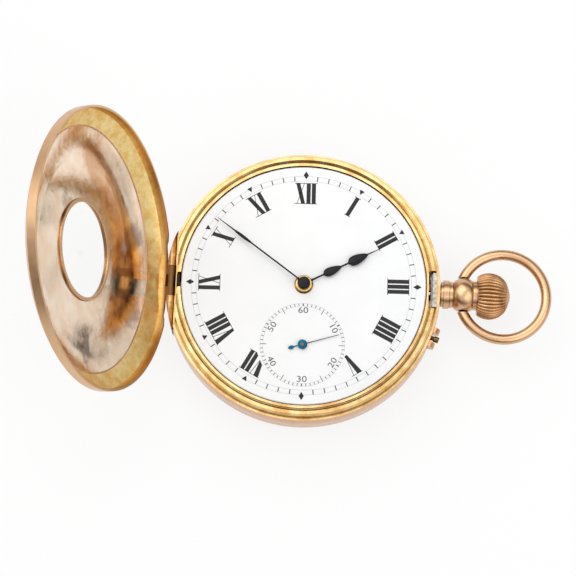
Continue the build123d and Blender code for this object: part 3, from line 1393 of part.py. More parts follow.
# Setting lever: the push pin presses its tab, and its finger moves the clutch
tab_outer = pin_inner_radius - seat_gap
tab_x, tab_y = polar(tab_outer - lever_tab_depth / 2, pin_angle)
finger_x = (clutch_groove_start_x + clutch_groove_end_x) / 2
finger_y = -clutch_groove_radius - finger_gap - lever_finger_width / 2
finger_half = (clutch_groove_end_x - clutch_groove_start_x) / 2 - finger_gap
lever_top = lever_bottom + lever_thickness


def lever_arm(x, y):
    """A flat arm of the lever from its pivot to a place."""
    turn = degrees(atan2(y - lever_pivot_y, x - lever_pivot_x))
    length = hypot(x - lever_pivot_x, y - lever_pivot_y)
    bar = block(0, length, -lever_width / 2, lever_width / 2, lever_bottom, lever_top)
    return Pos(lever_pivot_x, lever_pivot_y, 0) * Rot(0, 0, turn) * bar


lever = rod(lever_hub_radius, lever_bottom, lever_top, lever_pivot_x, lever_pivot_y)
lever += lever_arm(finger_x, finger_y)
lever += lever_arm(tab_x, tab_y)
lever += Rot(0, 0, pin_angle) * block(tab_outer - lever_tab_depth, tab_outer, -lever_tab_width / 2,
                                      lever_tab_width / 2, pendant_z - pin_radius, lever_top)
lever += block(finger_x - finger_half, finger_x + finger_half, finger_y - lever_finger_width / 2,
               finger_y + lever_finger_width / 2, pendant_z, lever_top)
lever -= rod(lever_post_radius + running_fit, lever_bottom - overrun, lever_top + overrun,
             lever_pivot_x, lever_pivot_y)
keep("setting_lever", lever)

# Dial and hands
dial = turned(
    (dial_hole_radius, dial_bottom),
    (dial_radius, dial_bottom),
    (dial_radius, dial_top - dial_edge_round),
    (dial_radius - dial_edge_round, dial_top),
    (dial_hole_radius, dial_top),
)
dial -= rod(seconds_hole_radius, dial_bottom - overrun, dial_top + overrun, seconds_x, seconds_y)
keep("dial", dial)


def hand_bar(width, start, end):
    """A straight strip of a hand, that points up the page."""
    return Pos(0, (start + end) / 2) * Rectangle(width, end - start)


def hand_leaf(place, length, width):
    """A pointed bulb on a hand."""
    half = length / 2
    right = ThreePointArc((0, place - half), (width / 2, place), (0, place + half))
    left = ThreePointArc((0, place + half), (-width / 2, place), (0, place - half))
    return make_face([right, left])


def at_angle(shape, angle, x=0, y=0):
    """Turn a hand clockwise from 12 o'clock of the dial."""
    return Pos(x, y, 0) * Rot(0, 0, dial_turn - angle) * shape


minute_face = hand_bar(minute_wire, 0, minute_hand_length)
minute_face += hand_leaf(minute_leaf_place, minute_leaf_length, minute_leaf_width)
minute_hand = plate_of(minute_face, minute_hand_z, minute_hand_z + hand_thickness)
minute_hand += rod(minute_boss_radius, minute_boss_bottom, cannon_top)
minute_hand -= rod(cannon_radius, minute_boss_bottom - overrun, cannon_top + overrun)
keep("minute_hand", at_angle(minute_hand, minute_hand_angle))
hour_face = hand_bar(hour_wire, 0, hour_hand_length)
hour_face += hand_leaf(hour_inner_bulb_place, hour_inner_bulb_length, hour_inner_bulb_width)
hour_face += hand_leaf(hour_outer_bulb_place, hour_outer_bulb_length, hour_outer_bulb_width)
hour_hand = plate_of(hour_face, hour_hand_z, hour_hand_z + hand_thickness)
hour_hand += rod(hour_boss_radius, hour_boss_bottom, hour_boss_top)
hour_hand -= rod(hour_tube_radius, hour_boss_bottom - overrun, hour_boss_top + overrun)
keep("hour_hand", at_angle(hour_hand, hour_hand_angle))
seconds_face = hand_bar(seconds_wire, -seconds_tail, seconds_hand_length)
seconds_face += Pos(0, -seconds_tail) * Circle(seconds_tail_bulb)
seconds_hand = plate_of(seconds_face, seconds_hand_z, seconds_hand_z + hand_thickness)
seconds_hand += rod(seconds_boss_radius, seconds_hand_z, seconds_hand_z + seconds_boss_height)
seconds_hand -= rod(pivot_radius, seconds_hand_z - overrun, seconds_hand_z + seconds_boss_height + overrun)
keep("seconds_hand", at_angle(seconds_hand, seconds_hand_angle, seconds_x, seconds_y))
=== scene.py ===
# %% [markdown]
# # A half hunter pocket watch, dressed for its portrait
# The watch's solids come in as a fixed frame: case, lid, bow, crown and the whole
# movement are already there, each at its real size and place. What they lack is
# what the eye judges first: the gold, the enamel, the printing on the dial and the
# drawn-out shape of the hands. This lesson adds those, one step at a time.

# %% Load the frame
import math
import bpy
from mathutils import Matrix, Vector


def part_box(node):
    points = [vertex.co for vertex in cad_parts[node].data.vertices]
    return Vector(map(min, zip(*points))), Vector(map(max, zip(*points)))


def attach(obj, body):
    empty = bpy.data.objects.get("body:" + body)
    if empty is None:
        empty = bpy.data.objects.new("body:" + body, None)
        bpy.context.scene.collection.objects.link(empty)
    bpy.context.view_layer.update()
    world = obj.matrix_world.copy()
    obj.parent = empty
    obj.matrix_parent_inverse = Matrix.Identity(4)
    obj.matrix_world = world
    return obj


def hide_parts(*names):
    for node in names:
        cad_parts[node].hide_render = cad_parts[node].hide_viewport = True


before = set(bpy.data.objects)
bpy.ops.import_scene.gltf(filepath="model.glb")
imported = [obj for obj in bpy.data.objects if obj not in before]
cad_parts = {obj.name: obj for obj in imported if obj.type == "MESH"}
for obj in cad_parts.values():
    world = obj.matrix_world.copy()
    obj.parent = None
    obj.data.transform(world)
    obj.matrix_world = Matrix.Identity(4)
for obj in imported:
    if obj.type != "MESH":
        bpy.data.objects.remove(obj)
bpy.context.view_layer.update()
bpy.ops.object.select_all(action="DESELECT")
print("pieces in the frame:", len(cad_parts))

# %% [markdown]
# ## Working in millimetres
# Everything in the frame is in metres, but watch parts are thought of in
# millimetres, so one factor turns one into the other. The dial sits a degree round
# in its case, as many real ones do, and its centre is the centre of the frame.

# %% Units and the main places
MM = 0.001
DIAL_TURN = 1.04
DIAL_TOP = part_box("dial")[1].z
SIX = 11.3 * MM
HINGE = Vector((-24.4, 0, 8.2)) * MM
LID_OPEN = math.radians(114.2)
closed_to_open = (Matrix.Translation(HINGE) @ Matrix.Rotation(-LID_OPEN, 4, "Y")
                  @ Matrix.Translation(-HINGE))
print("dial stands at", round(DIAL_TOP / MM, 2), "mm")


def clock_place(angle, radius, height=0.0):
    """A matrix that carries an upright mark from the origin to its hour on the dial."""
    turn = math.radians(DIAL_TURN - angle)
    return Matrix.Rotation(turn, 4, "Z") @ Matrix.Translation((0, radius, height))


# %% [markdown]
# ## Colours and nodes
# A colour picked from a picture is written in sRGB, while Blender's shaders want
# linear light, so one function turns a hex value from one to the other. A second
# one links or sets the inputs of a shader node, and a whole node given as an input
# stands for its first output in use. A third adds a node and feeds it, which keeps
# each material short enough to read like a recipe.

# %% Colour and node helpers
def colour(code):
    """Linear colour from an sRGB hex value such as #D9A441."""
    parts = [int(code[place:place + 2], 16) / 255 for place in (1, 3, 5)]
    return [part / 12.92 if part <= 0.04045 else ((part + 0.055) / 1.055) ** 2.4
            for part in parts] + [1.0]


def feed(tree, node, inputs):
    """Link or set a node's inputs."""
    for name, value in inputs.items():
        if isinstance(value, bpy.types.Node):
            value = next(output for output in value.outputs if output.enabled)
        if isinstance(value, bpy.types.NodeSocket):
            tree.links.new(value, node.inputs[name])
        else:
            node.inputs[name].default_value = value


def add_node(tree, kind, inputs=None, **settings):
    """Add one node, set its settings, and feed its inputs."""
    made = tree.nodes.new(kind)
    for name, value in settings.items():
        setattr(made, name, value)
    feed(tree, made, inputs or {})
    return made


def new_material(name):
    """An empty material, with its tree, its shader and the place on the object."""
    made = bpy.data.materials.new(name)
    made.use_nodes = True
    tree = made.node_tree
    shader = tree.nodes["Principled BSDF"]
    place = add_node(tree, "ShaderNodeTexCoord").outputs["Object"]
    return made, tree, shader, place


# %% [markdown]
# ## Polished gold that has been carried
# A watch case is gold alloyed with copper, polished on a buff. A century in a pocket
# leaves three things on it: broad patches where the polish is brighter or duller,
# fine straight hairlines from cloth and coins, and a brown film where no finger
# reaches. The patches come from slow noise of a few millimetres, the hairlines from
# noise stretched forty times along one direction, and the film from ambient
# occlusion, which is dark only in creases, so that darkening is partly that film and
# partly painted shade in the gaps and grooves. All of them follow the object itself,
# so they stay put when the watch is turned.

# %% The recipe for a worn precious metal
HAIRLINE_WIDTH = 0.09
DENT_WIDTH = 1.6


def worn_metal(name, pale, deep, film, patch=3.0, rough=(0.12, 0.30), hairlines=0.06,
               dents=0.10, shade_and_grime_reach=0.9, shade_and_grime_share=0.75):
    """A polished metal with patches, hairlines, soft dents, and grime and painted shade
    in creases.
    """
    made, tree, shader, place = new_material(name)
    patches = add_node(tree, "ShaderNodeTexNoise", {
        "Vector": place, "Scale": 1 / (patch * MM), "Detail": 5.0, "Roughness": 0.6})
    patch_ramp = add_node(tree, "ShaderNodeMapRange", {
        "Value": patches, "From Min": 0.36, "From Max": 0.66})
    tint = add_node(tree, "ShaderNodeMix", {
        "Factor": patch_ramp, "A": colour(deep), "B": colour(pale)}, data_type="RGBA")
    # Ambient occlusion darkens creases, gaps and grooves towards the film colour:
    # partly grime, partly painted shade where light falls short.
    crease = add_node(tree, "ShaderNodeAmbientOcclusion", {
        "Distance": shade_and_grime_reach * MM}, samples=8)
    crease_grime_and_shade = add_node(tree, "ShaderNodeMapRange", {
        "Value": crease.outputs["AO"], "From Min": 0.25, "From Max": 0.80,
        "To Min": shade_and_grime_share, "To Max": 0.0})
    grimed_and_shaded = add_node(tree, "ShaderNodeMix", {
        "Factor": crease_grime_and_shade, "A": tint, "B": colour(film)}, data_type="RGBA")
    smears = add_node(tree, "ShaderNodeTexNoise", {
        "Vector": place, "Scale": 1 / (patch * 0.4 * MM), "Detail": 6.0,
        "Roughness": 0.65, "Distortion": 0.6})
    gloss = add_node(tree, "ShaderNodeMapRange", {
        "Value": smears, "From Min": 0.35, "From Max": 0.70, "To Min": rough[0],
        "To Max": rough[1]})
    stretched = add_node(tree, "ShaderNodeMapping", {
        "Vector": place, "Rotation": (0.3, 0.2, 0.9), "Scale": (1.0, 0.025, 1.0)})
    lines = add_node(tree, "ShaderNodeTexNoise", {
        "Vector": stretched, "Scale": 1 / (HAIRLINE_WIDTH * MM), "Detail": 3.0,
        "Roughness": 0.7})
    dings = add_node(tree, "ShaderNodeTexNoise", {
        "Vector": place, "Scale": 1 / (DENT_WIDTH * MM), "Detail": 3.0,
        "Roughness": 0.5})
    soft = add_node(tree, "ShaderNodeBump", {
        "Height": dings, "Strength": dents, "Distance": 0.25 * MM})
    fine = add_node(tree, "ShaderNodeBump", {
        "Height": lines, "Strength": hairlines, "Distance": 0.03 * MM, "Normal": soft})
    feed(tree, shader, {
        "Base Color": grimed_and_shaded, "Roughness": gloss, "Normal": fine, "Metallic": 1.0})
    return made, tree, shader, place


# Yellow gold darkens its creases nearly to the film colour: grime and painted shade.
yellow_gold = worn_metal("polished_yellow_gold", "#EFD592", "#D9AE5E", "#4A2306",
                         patch=4.0, rough=(0.16, 0.32), shade_and_grime_reach=0.7,
                         shade_and_grime_share=0.95)[0]
rose_gold = worn_metal("polished_rose_gold", "#DAB38C", "#D2AA82", "#5E3416",
                       patch=7.0, rough=(0.24, 0.36), dents=0.04)[0]
# The crown's rose gold is painted darker than the case's, and its creases darker still:
# painted shade for its deep ribs.
milled_gold_painted_shade = worn_metal("milled_rose_gold_painted_shade", "#CDA174", "#AE7F52", "#3E1C08",
                         rough=(0.24, 0.36), dents=0.03, shade_and_grime_reach=0.5,
                         shade_and_grime_share=0.95)[0]
aged_brass = worn_metal("aged_brass", "#8E6A42", "#6A4A2C", "#3E2410", patch=0.8,
                        rough=(0.30, 0.45))[0]
print("gold finishes:", yellow_gold.name, rose_gold.name, milled_gold_painted_shade.name)

# %% [markdown]
# ## Two golds and some grime on the case
# The case is turned from rose gold and gilded yellow on its front, so its outer wall
# is rosy and all that lies inside the wall is yellow. Oil and dust creep out of the
# hinge and dry there to a dark brown. The finish starts as worn yellow gold. A mix
# turns it rosy past a radius, and a film grows towards the hinge side, with a ragged
# edge from a noise of 1.5 mm.

# %% Case gold
# Its creases, such as the gap round the dial, are darkened nearly to the film colour:
# grime and painted shade.
case_gold, tree, shader, place = worn_metal(
    "case_two_colour_gold", "#E8CB92", "#C69B5E", "#4A2306", patch=3.0,
    rough=(0.15, 0.30), shade_and_grime_reach=0.7, shade_and_grime_share=0.95)
OUTER_WALL = (24.9, 25.1)
GRIME = (-24.1, -22.9)
GRIME_EDGE = 1.6
here = add_node(tree, "ShaderNodeSeparateXYZ", {"Vector": place})
level = add_node(tree, "ShaderNodeCombineXYZ", {
    "X": here.outputs["X"], "Y": here.outputs["Y"]})
from_axis = add_node(tree, "ShaderNodeVectorMath", {0: level}, operation="LENGTH")
rosy = add_node(tree, "ShaderNodeMapRange", {
    "Value": from_axis, "From Min": OUTER_WALL[0] * MM, "From Max": OUTER_WALL[1] * MM})
drift = add_node(tree, "ShaderNodeTexNoise", {
    "Vector": place, "Scale": 1 / (5.0 * MM), "Detail": 3.0})
rosy_tint = add_node(tree, "ShaderNodeMix", {
    "Factor": drift, "A": colour("#BA885C"), "B": colour("#D3A57B")}, data_type="RGBA")
two_golds = add_node(tree, "ShaderNodeMix", {
    "Factor": rosy, "A": shader.inputs["Base Color"].links[0].from_socket,
    "B": rosy_tint}, data_type="RGBA")
crust = add_node(tree, "ShaderNodeTexNoise", {
    "Vector": place, "Scale": 1 / (1.5 * MM), "Detail": 4.0, "Roughness": 0.65})
uneven = add_node(tree, "ShaderNodeMath", {
    0: crust, 1: GRIME_EDGE * MM, 2: here.outputs["X"]}, operation="MULTIPLY_ADD")
grimy = add_node(tree, "ShaderNodeMapRange", {
    "Value": uneven, "From Min": GRIME[0] * MM, "From Max": GRIME[1] * MM,
    "To Min": 0.8, "To Max": 0.0})
case_tint = add_node(tree, "ShaderNodeMix", {
    "Factor": grimy, "A": two_golds, "B": colour("#7A4E26")}, data_type="RGBA")
feed(tree, shader, {"Base Color": case_tint})
print("grime reaches", GRIME[1], "mm")

# %% [markdown]
# ## The lid's two golds
# The lid is struck in rose gold, but the wide wall inside its rim was gilded and has
# stayed yellower and duller than the polished middle. One material can hold both: a
# Mapping node swings the place on the open lid back to where it would be with the
# lid shut, and there the wall is simply what lies outside a certain radius. Inside
# and outside are told apart in the same way. The lid's sheet is flat as far as 16 mm
# from its middle, and then bends down round a point 1.2 mm below the case's foot, so
# the distance from that point, or above it on the flat, says which skin it is. The
# polished middle also has a few painted reflections of the room and the watch, brown,
# grey and orange patches with ragged edges, each given by its place on the shut lid
# and its radius in millimetres.

# %% Lid gold
lid_gold, tree, shader, place = worn_metal(
    "lid_gold", "#FBEAD6", "#F0D2B4", "#8A5A34", patch=5.0, rough=(0.08, 0.20),
    dents=0.07)
centred = add_node(tree, "ShaderNodeVectorMath", {
    0: place, 1: HINGE}, operation="SUBTRACT")
shut = add_node(tree, "ShaderNodeMapping", {
    "Vector": centred, "Rotation": (0, LID_OPEN, 0), "Location": HINGE})
split = add_node(tree, "ShaderNodeSeparateXYZ", {"Vector": shut})
flat = add_node(tree, "ShaderNodeCombineXYZ", {
    "X": split.outputs["X"], "Y": split.outputs["Y"]})
reach = add_node(tree, "ShaderNodeVectorMath", {0: flat}, operation="LENGTH")
WALL_INSIDE = (21.7, 22.2)
wall = add_node(tree, "ShaderNodeMapRange", {
    "Value": reach, "From Min": WALL_INSIDE[0] * MM, "From Max": WALL_INSIDE[1] * MM},
    interpolation_type="SMOOTHSTEP")
OUTER_SKIN = (24.70, 24.85)
skin = add_node(tree, "ShaderNodeMapRange", {
    "Value": reach, "From Min": OUTER_SKIN[0] * MM, "From Max": OUTER_SKIN[1] * MM,
    "To Min": 1.0, "To Max": 0.0})
BEND = (16.0, -1.2)
SHEET_MIDDLE = 14.6
HALF_BLEND = 0.05
past_bend = add_node(tree, "ShaderNodeMath", {
    0: reach, 1: BEND[0] * MM}, operation="SUBTRACT")
outward = add_node(tree, "ShaderNodeMath", {0: past_bend, 1: 0.0}, operation="MAXIMUM")
upward = add_node(tree, "ShaderNodeMath", {
    0: split.outputs["Z"], 1: BEND[1] * MM}, operation="SUBTRACT")
from_bend = add_node(tree, "ShaderNodeCombineXYZ", {"X": outward, "Y": upward})
bend_distance = add_node(tree, "ShaderNodeVectorMath", {
    0: from_bend}, operation="LENGTH")
hollow = add_node(tree, "ShaderNodeMapRange", {
    "Value": bend_distance, "From Min": (SHEET_MIDDLE - HALF_BLEND) * MM,
    "From Max": (SHEET_MIDDLE + HALF_BLEND) * MM, "To Min": 1.0, "To Max": 0.0})
inside = add_node(tree, "ShaderNodeMath", {0: skin, 1: hollow}, operation="MULTIPLY")
gilded = add_node(tree, "ShaderNodeMath", {0: wall, 1: inside}, operation="MULTIPLY")
speckle = add_node(tree, "ShaderNodeTexNoise", {
    "Vector": place, "Scale": 1 / (2.0 * MM), "Detail": 8.0, "Roughness": 0.72})
speckle_ramp = add_node(tree, "ShaderNodeMapRange", {
    "Value": speckle, "From Min": 0.38, "From Max": 0.64})
gilt_tint = add_node(tree, "ShaderNodeMix", {
    "Factor": speckle_ramp, "A": colour("#EFC671"), "B": colour("#FFF0B6")},
    data_type="RGBA")
under = shader.inputs["Base Color"].links[0].from_socket

# %% Painted reflections on the lid
RAGGED = 1.6
# Painted reflections of the room and the watch: place on the shut lid, radius in
# millimetres, colour.
PAINTED_REFLECTIONS = (((-1.0, 17.0), 4.6, "#CF9A68"), ((-5.5, 13.5), 3.6, "#DDAE7C"),
          ((-17.0, 6.5), 3.4, "#AE988C"), ((-17.8, 1.8), 2.6, "#D0AC8C"),
          ((-16.8, -7.0), 3.8, "#A8928A"), ((-2.8, -17.2), 2.8, "#958074"),
          ((6.4, 6.6), 2.2, "#C2A892"))
wobble = add_node(tree, "ShaderNodeTexNoise", {
    "Vector": place, "Scale": 1 / (2.4 * MM), "Detail": 5.0, "Roughness": 0.6})
ragged = add_node(tree, "ShaderNodeMapRange", {
    "Value": wobble, "From Min": 0.3, "From Max": 0.7, "To Min": -RAGGED * MM,
    "To Max": RAGGED * MM})
for (x, y), size, code in PAINTED_REFLECTIONS:
    away = add_node(tree, "ShaderNodeVectorMath", {
        0: flat, 1: (x * MM, y * MM, 0)}, operation="DISTANCE")
    edge = add_node(tree, "ShaderNodeMath", {0: away, 1: ragged}, operation="ADD")
    painted_reflection = add_node(tree, "ShaderNodeMapRange", {
        "Value": edge, "From Min": size * 0.55 * MM, "From Max": size * MM,
        "To Min": 0.75, "To Max": 0.0})
    under = add_node(tree, "ShaderNodeMix", {
        "Factor": painted_reflection, "A": under, "B": colour(code)}, data_type="RGBA")
both = add_node(tree, "ShaderNodeMix", {
    "Factor": gilded, "A": under, "B": gilt_tint}, data_type="RGBA")

# %% The lid's mouth, a band low on its wall, tinted orange-brown
MOUTH = (9.2, 10.0)
mouth_band = add_node(tree, "ShaderNodeMapRange", {
    "Value": split.outputs["Z"], "From Min": MOUTH[0] * MM, "From Max": MOUTH[1] * MM,
    "To Min": 0.75, "To Max": 0.0})
mouth_tint = add_node(tree, "ShaderNodeMix", {
    "Factor": mouth_band, "A": both, "B": colour("#C08A50")}, data_type="RGBA")

# %% The outside of the lid
clouds = add_node(tree, "ShaderNodeTexNoise", {
    "Vector": place, "Scale": 1 / (6.0 * MM), "Detail": 3.0})
outer_tint = add_node(tree, "ShaderNodeMix", {
    "Factor": clouds, "A": colour("#CFA47A"), "B": colour("#E2BF9A")}, data_type="RGBA")
two_skins = add_node(tree, "ShaderNodeMix", {
    "Factor": inside, "A": outer_tint, "B": mouth_tint}, data_type="RGBA")

# %% Dried oil on the lid's knuckle
OIL = (0.9, 1.5)
from_hinge = add_node(tree, "ShaderNodeVectorMath", {
    0: centred, 1: (1, 0, 1)}, operation="MULTIPLY")
hinge_distance = add_node(tree, "ShaderNodeVectorMath", {
    0: from_hinge}, operation="LENGTH")
crusted = add_node(tree, "ShaderNodeMapRange", {
    "Value": hinge_distance, "From Min": OIL[0] * MM, "From Max": OIL[1] * MM,
    "To Min": 0.85, "To Max": 0.0})
lid_tint = add_node(tree, "ShaderNodeMix", {
    "Factor": crusted, "A": two_skins, "B": colour("#5A3A24")}, data_type="RGBA")

# %% How much duller the outside and the gilding are than the polished middle
OUTSIDE_DULLER = 0.20
GILDING_DULLER = 0.26
outside = add_node(tree, "ShaderNodeMath", {0: 1.0, 1: inside}, operation="SUBTRACT")
carried = add_node(tree, "ShaderNodeMath", {
    0: outside, 1: OUTSIDE_DULLER,
    2: shader.inputs["Roughness"].links[0].from_socket}, operation="MULTIPLY_ADD")
dulled = add_node(tree, "ShaderNodeMath", {
    0: gilded, 1: GILDING_DULLER, 2: carried}, operation="MULTIPLY_ADD")
feed(tree, shader, {"Base Color": lid_tint, "Roughness": dulled})
print("lid gold turns yellow between", WALL_INSIDE, "mm, with", len(PAINTED_REFLECTIONS), "painted_reflections")

# %% [markdown]
# ## Steel, gilt brass and ruby for the movement
# Behind the dust cover sits the movement. Its plates are gilded brass with fine
# parallel stripes, ruled by a turning disc of stone, its wheels are plain gilt, its
# screws and pinions polished steel, and its bearings synthetic ruby. The stripes are
# 1.6 mm wide on the real thing and are drawn so here.

# %% Steels
polished_steel = worn_metal("polished_steel", "#CFD1D5", "#BCBFC4", "#3A2E26",
                            patch=2.0, rough=(0.14, 0.28), hairlines=0.10,
                            dents=0.02)[0]
spring_steel = worn_metal("drawn_spring_steel", "#A9ABB0", "#6F7176", "#3B2A20",
                          patch=0.8, rough=(0.22, 0.42), hairlines=0.14,
                          dents=0.03)[0]
worn_steel = worn_metal("worn_catch_steel", "#C6BEB4", "#8E857A", "#2E2016", patch=0.9,
                        rough=(0.20, 0.36), hairlines=0.12, dents=0.04)[0]

# %% Gilt brass, plain and striped
gilt_brass = worn_metal("gilded_brass", "#EED28A", "#D8B464", "#6B4A20", patch=2.0,
                        rough=(0.20, 0.38), dents=0.02)[0]
striped_brass, tree, shader, place = worn_metal(
    "striped_gilded_brass", "#EFD796", "#DFBE74", "#6B4A20", patch=5.0,
    rough=(0.20, 0.30), dents=0.0)
STRIPE = 1.6
WAVE = 0.31416  # a wave texture repeats at this length when its scale is 1
stripes = add_node(tree, "ShaderNodeTexWave", {
    "Vector": place, "Scale": 1 / (STRIPE * MM) * WAVE, "Distortion": 0.0},
    wave_type="BANDS", bands_direction="DIAGONAL", wave_profile="SAW")
ruled = add_node(tree, "ShaderNodeBump", {
    "Height": stripes.outputs["Fac"], "Strength": 0.8, "Distance": 0.16 * MM,
    "Normal": shader.inputs["Normal"].links[0].from_socket})
sheen = add_node(tree, "ShaderNodeMapRange", {
    "Value": stripes.outputs["Fac"], "To Min": 0.14, "To Max": 0.38})
feed(tree, shader, {"Normal": ruled, "Roughness": sheen})

# %% Ruby bearings
ruby, tree, shader, place = new_material("polished_synthetic_ruby")
clouds = add_node(tree, "ShaderNodeTexNoise", {
    "Vector": place, "Scale": 1 / (0.4 * MM), "Detail": 2.0})
ruby_tint = add_node(tree, "ShaderNodeMix", {
    "Factor": clouds, "A": colour("#7E0F2A"), "B": colour("#C02848")}, data_type="RGBA")
polish = add_node(tree, "ShaderNodeMapRange", {
    "Value": clouds, "To Min": 0.04, "To Max": 0.12})
feed(tree, shader, {"Base Color": ruby_tint, "Roughness": polish, "IOR": 1.77})
print("movement finishes made")

# %% [markdown]
# ## Fired enamel
# The dial is white glass powder fused on a copper disc. It is never quite even: the
# surface rolls by a few hundredths of a millimetre, which bends reflections near the
# edge, and it carries faint specks from the kiln. It is glossy, with the IOR of
# glass, and its white is all but neutral.

# %% White enamel, and the paints on it
enamel, tree, shader, place = new_material("fired_white_enamel")
rolls = add_node(tree, "ShaderNodeTexNoise", {
    "Vector": place, "Scale": 1 / (7.0 * MM), "Detail": 2.0})
specks = add_node(tree, "ShaderNodeTexVoronoi", {
    "Vector": place, "Scale": 1 / (3.2 * MM), "Randomness": 1.0}, feature="F1")
speck_ramp = add_node(tree, "ShaderNodeMapRange", {
    "Value": specks, "From Min": 0.015, "From Max": 0.045, "To Min": 0.35,
    "To Max": 0.0})
white = add_node(tree, "ShaderNodeMix", {
    "Factor": rolls, "A": colour("#E9EAEB"), "B": colour("#F2F3F3")}, data_type="RGBA")
speckled = add_node(tree, "ShaderNodeMix", {
    "Factor": speck_ramp, "A": white, "B": colour("#B9B2A4")}, data_type="RGBA")
glaze = add_node(tree, "ShaderNodeMapRange", {
    "Value": rolls, "To Min": 0.08, "To Max": 0.20})
waves = add_node(tree, "ShaderNodeBump", {
    "Height": rolls, "Strength": 0.12, "Distance": 0.3 * MM})
feed(tree, shader, {
    "Base Color": speckled, "Roughness": glaze, "Normal": waves, "IOR": 1.52})


def enamel_paint(name, dark, light, rough):
    """Painted enamel: thin, slightly uneven in density, and smooth."""
    made, tree, shader, place = new_material(name)
    density = add_node(tree, "ShaderNodeTexNoise", {
        "Vector": place, "Scale": 1 / (0.5 * MM), "Detail": 4.0, "Roughness": 0.7})
    tint = add_node(tree, "ShaderNodeMix", {
        "Factor": density, "A": colour(dark), "B": colour(light)}, data_type="RGBA")
    gloss = add_node(tree, "ShaderNodeMapRange", {
        "Value": density, "To Min": rough, "To Max": rough + 0.15})
    grain = add_node(tree, "ShaderNodeBump", {
        "Height": density, "Strength": 0.2, "Distance": 0.01 * MM})
    feed(tree, shader, {"Base Color": tint, "Roughness": gloss, "Normal": grain})
    return made


black_paint = enamel_paint("black_dial_paint", "#070709", "#111115", 0.50)
grey_paint = enamel_paint("fine_grey_dial_paint", "#46464A", "#6C6C70", 0.45)
pale_paint = enamel_paint("pale_grey_dial_paint", "#B8B8BB", "#D0D0D2", 0.45)
blue_paint = enamel_paint("dark_blue_lid_enamel", "#131A3A", "#26305C", 0.15)

# %% [markdown]
# ## Hand steel
# The hour and minute hands are steel, blackened in a chemical bath and then lightly
# polished, so they stay dark but catch a line of light. The seconds hand is blued by
# heat instead: steel warmed to about 300 degrees takes a thin oxide film that looks
# blue, deeper in some places. Its thin needle looks darker and greyer than its tail.

# %% Blackened and blued steel
def oxide_steel(name, deep, bright, patch, rough):
    """Steel with a coloured oxide film of uneven depth."""
    made, tree, shader, place = new_material(name)
    film = add_node(tree, "ShaderNodeTexNoise", {
        "Vector": place, "Scale": 1 / (patch * MM), "Detail": 3.0})
    tint = add_node(tree, "ShaderNodeMix", {
        "Factor": film, "A": colour(deep), "B": colour(bright)}, data_type="RGBA")
    gloss = add_node(tree, "ShaderNodeMapRange", {
        "Value": film, "To Min": rough, "To Max": rough + 0.2})
    feed(tree, shader, {"Base Color": tint, "Roughness": gloss, "Metallic": 0.85})
    return made


black_steel = oxide_steel("blackened_steel", "#121214", "#2C2B2E", 1.0, 0.22)
blue_steel = oxide_steel("heat_blued_steel", "#053A52", "#14688A", 0.6, 0.2)
needle_steel = oxide_steel("dark_needle_steel", "#2A3338", "#45525A", 0.6, 0.3)

# %% [markdown]
# ## Window glass
# The little window in the lid is a watchmaker's crystal, plain glass with faint
# rubbing marks. Real glass is clear because most light passes straight through, so
# the shader transmits everything and only the roughness has a little pattern. Its
# IOR is kept near 1 in place of glass's 1.52, so that nothing in the room is mirrored
# over the white that the photo shows through it.

# %% Clear crystal
crystal, tree, shader, place = new_material("watch_crystal_glass")
rubs = add_node(tree, "ShaderNodeTexNoise", {
    "Vector": place, "Scale": 1 / (0.6 * MM), "Detail": 6.0, "Roughness": 0.8})
rub_ramp = add_node(tree, "ShaderNodeMapRange", {
    "Value": rubs, "From Min": 0.55, "From Max": 0.8, "To Min": 0.0, "To Max": 0.05})
feed(tree, shader, {"Base Color": colour("#FDFEFD"), "Roughness": rub_ramp,
                    "Transmission Weight": 1.0, "IOR": 1.02})
print("crystal ready")

# %% [markdown]
# ## Give each solid its finish
# The frame's own objects keep their shape and place. Each only gets a better
# material in its slot, chosen for what that part is made of on a real watch.

# %% Finishes for the frame's solids
finishes = {
    case_gold: ["case_middle"],
    yellow_gold: ["dust_cover"],
    rose_gold: ["back_cover", "pendant", "bow", "window_bezel"],
    milled_gold_painted_shade: ["crown"],
    lid_gold: ["front_cover"],
    crystal: ["window_glass"],
    enamel: ["dial"],
    black_steel: ["minute_hand", "hour_hand", "lid_lift_spring"],
    blue_steel: ["seconds_hand"],
    ruby: ["jewels"],
    striped_brass: ["barrel_bridge", "train_bridge", "balance_cock", "main_plate"],
    gilt_brass: ["pallet_bridge", "barrel", "barrel_cover", "center_wheel",
                 "third_wheel", "fourth_wheel", "balance_wheel", "minute_wheel",
                 "hour_wheel"],
    spring_steel: ["mainspring", "hairspring", "click_spring"],
    worn_steel: ["lid_catch_spring"],
    aged_brass: ["setting_push_pin"],
}
for finish, names in finishes.items():
    for name in names:
        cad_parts[name].material_slots[0].material = finish
dressed = {name for names in finishes.values() for name in names}
for name in sorted(set(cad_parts) - dressed):
    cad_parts[name].material_slots[0].material = polished_steel
print("solids dressed:", len(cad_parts))

# %% [markdown]
# ## Printing tools
# The printing on a dial is a film of enamel paint. As flat pictures would need an
# image file, each mark is modelled instead, as a plate 0.03 mm thick that is sunk
# halfway into the enamel. Every mark starts as one primitive and is shaped in edit
# mode, and each that repeats is modelled once and then copied with its own mesh.

# %% Settle, copy and join
PRINT = 0.03


def unselect():
    """Select no object."""
    bpy.ops.object.select_all(action="DESELECT")


def settle(piece):
    """Write a piece's place into its mesh and leave its object at the origin."""
    piece.data.transform(piece.matrix_world)
    piece.matrix_world = Matrix.Identity(4)
    return piece


def copied(piece, matrix):
    """A copy with its own mesh, carried to another place."""
    twin = piece.copy()
    twin.data = piece.data.copy()
    twin.data.transform(matrix)
    bpy.context.collection.objects.link(twin)
    return twin


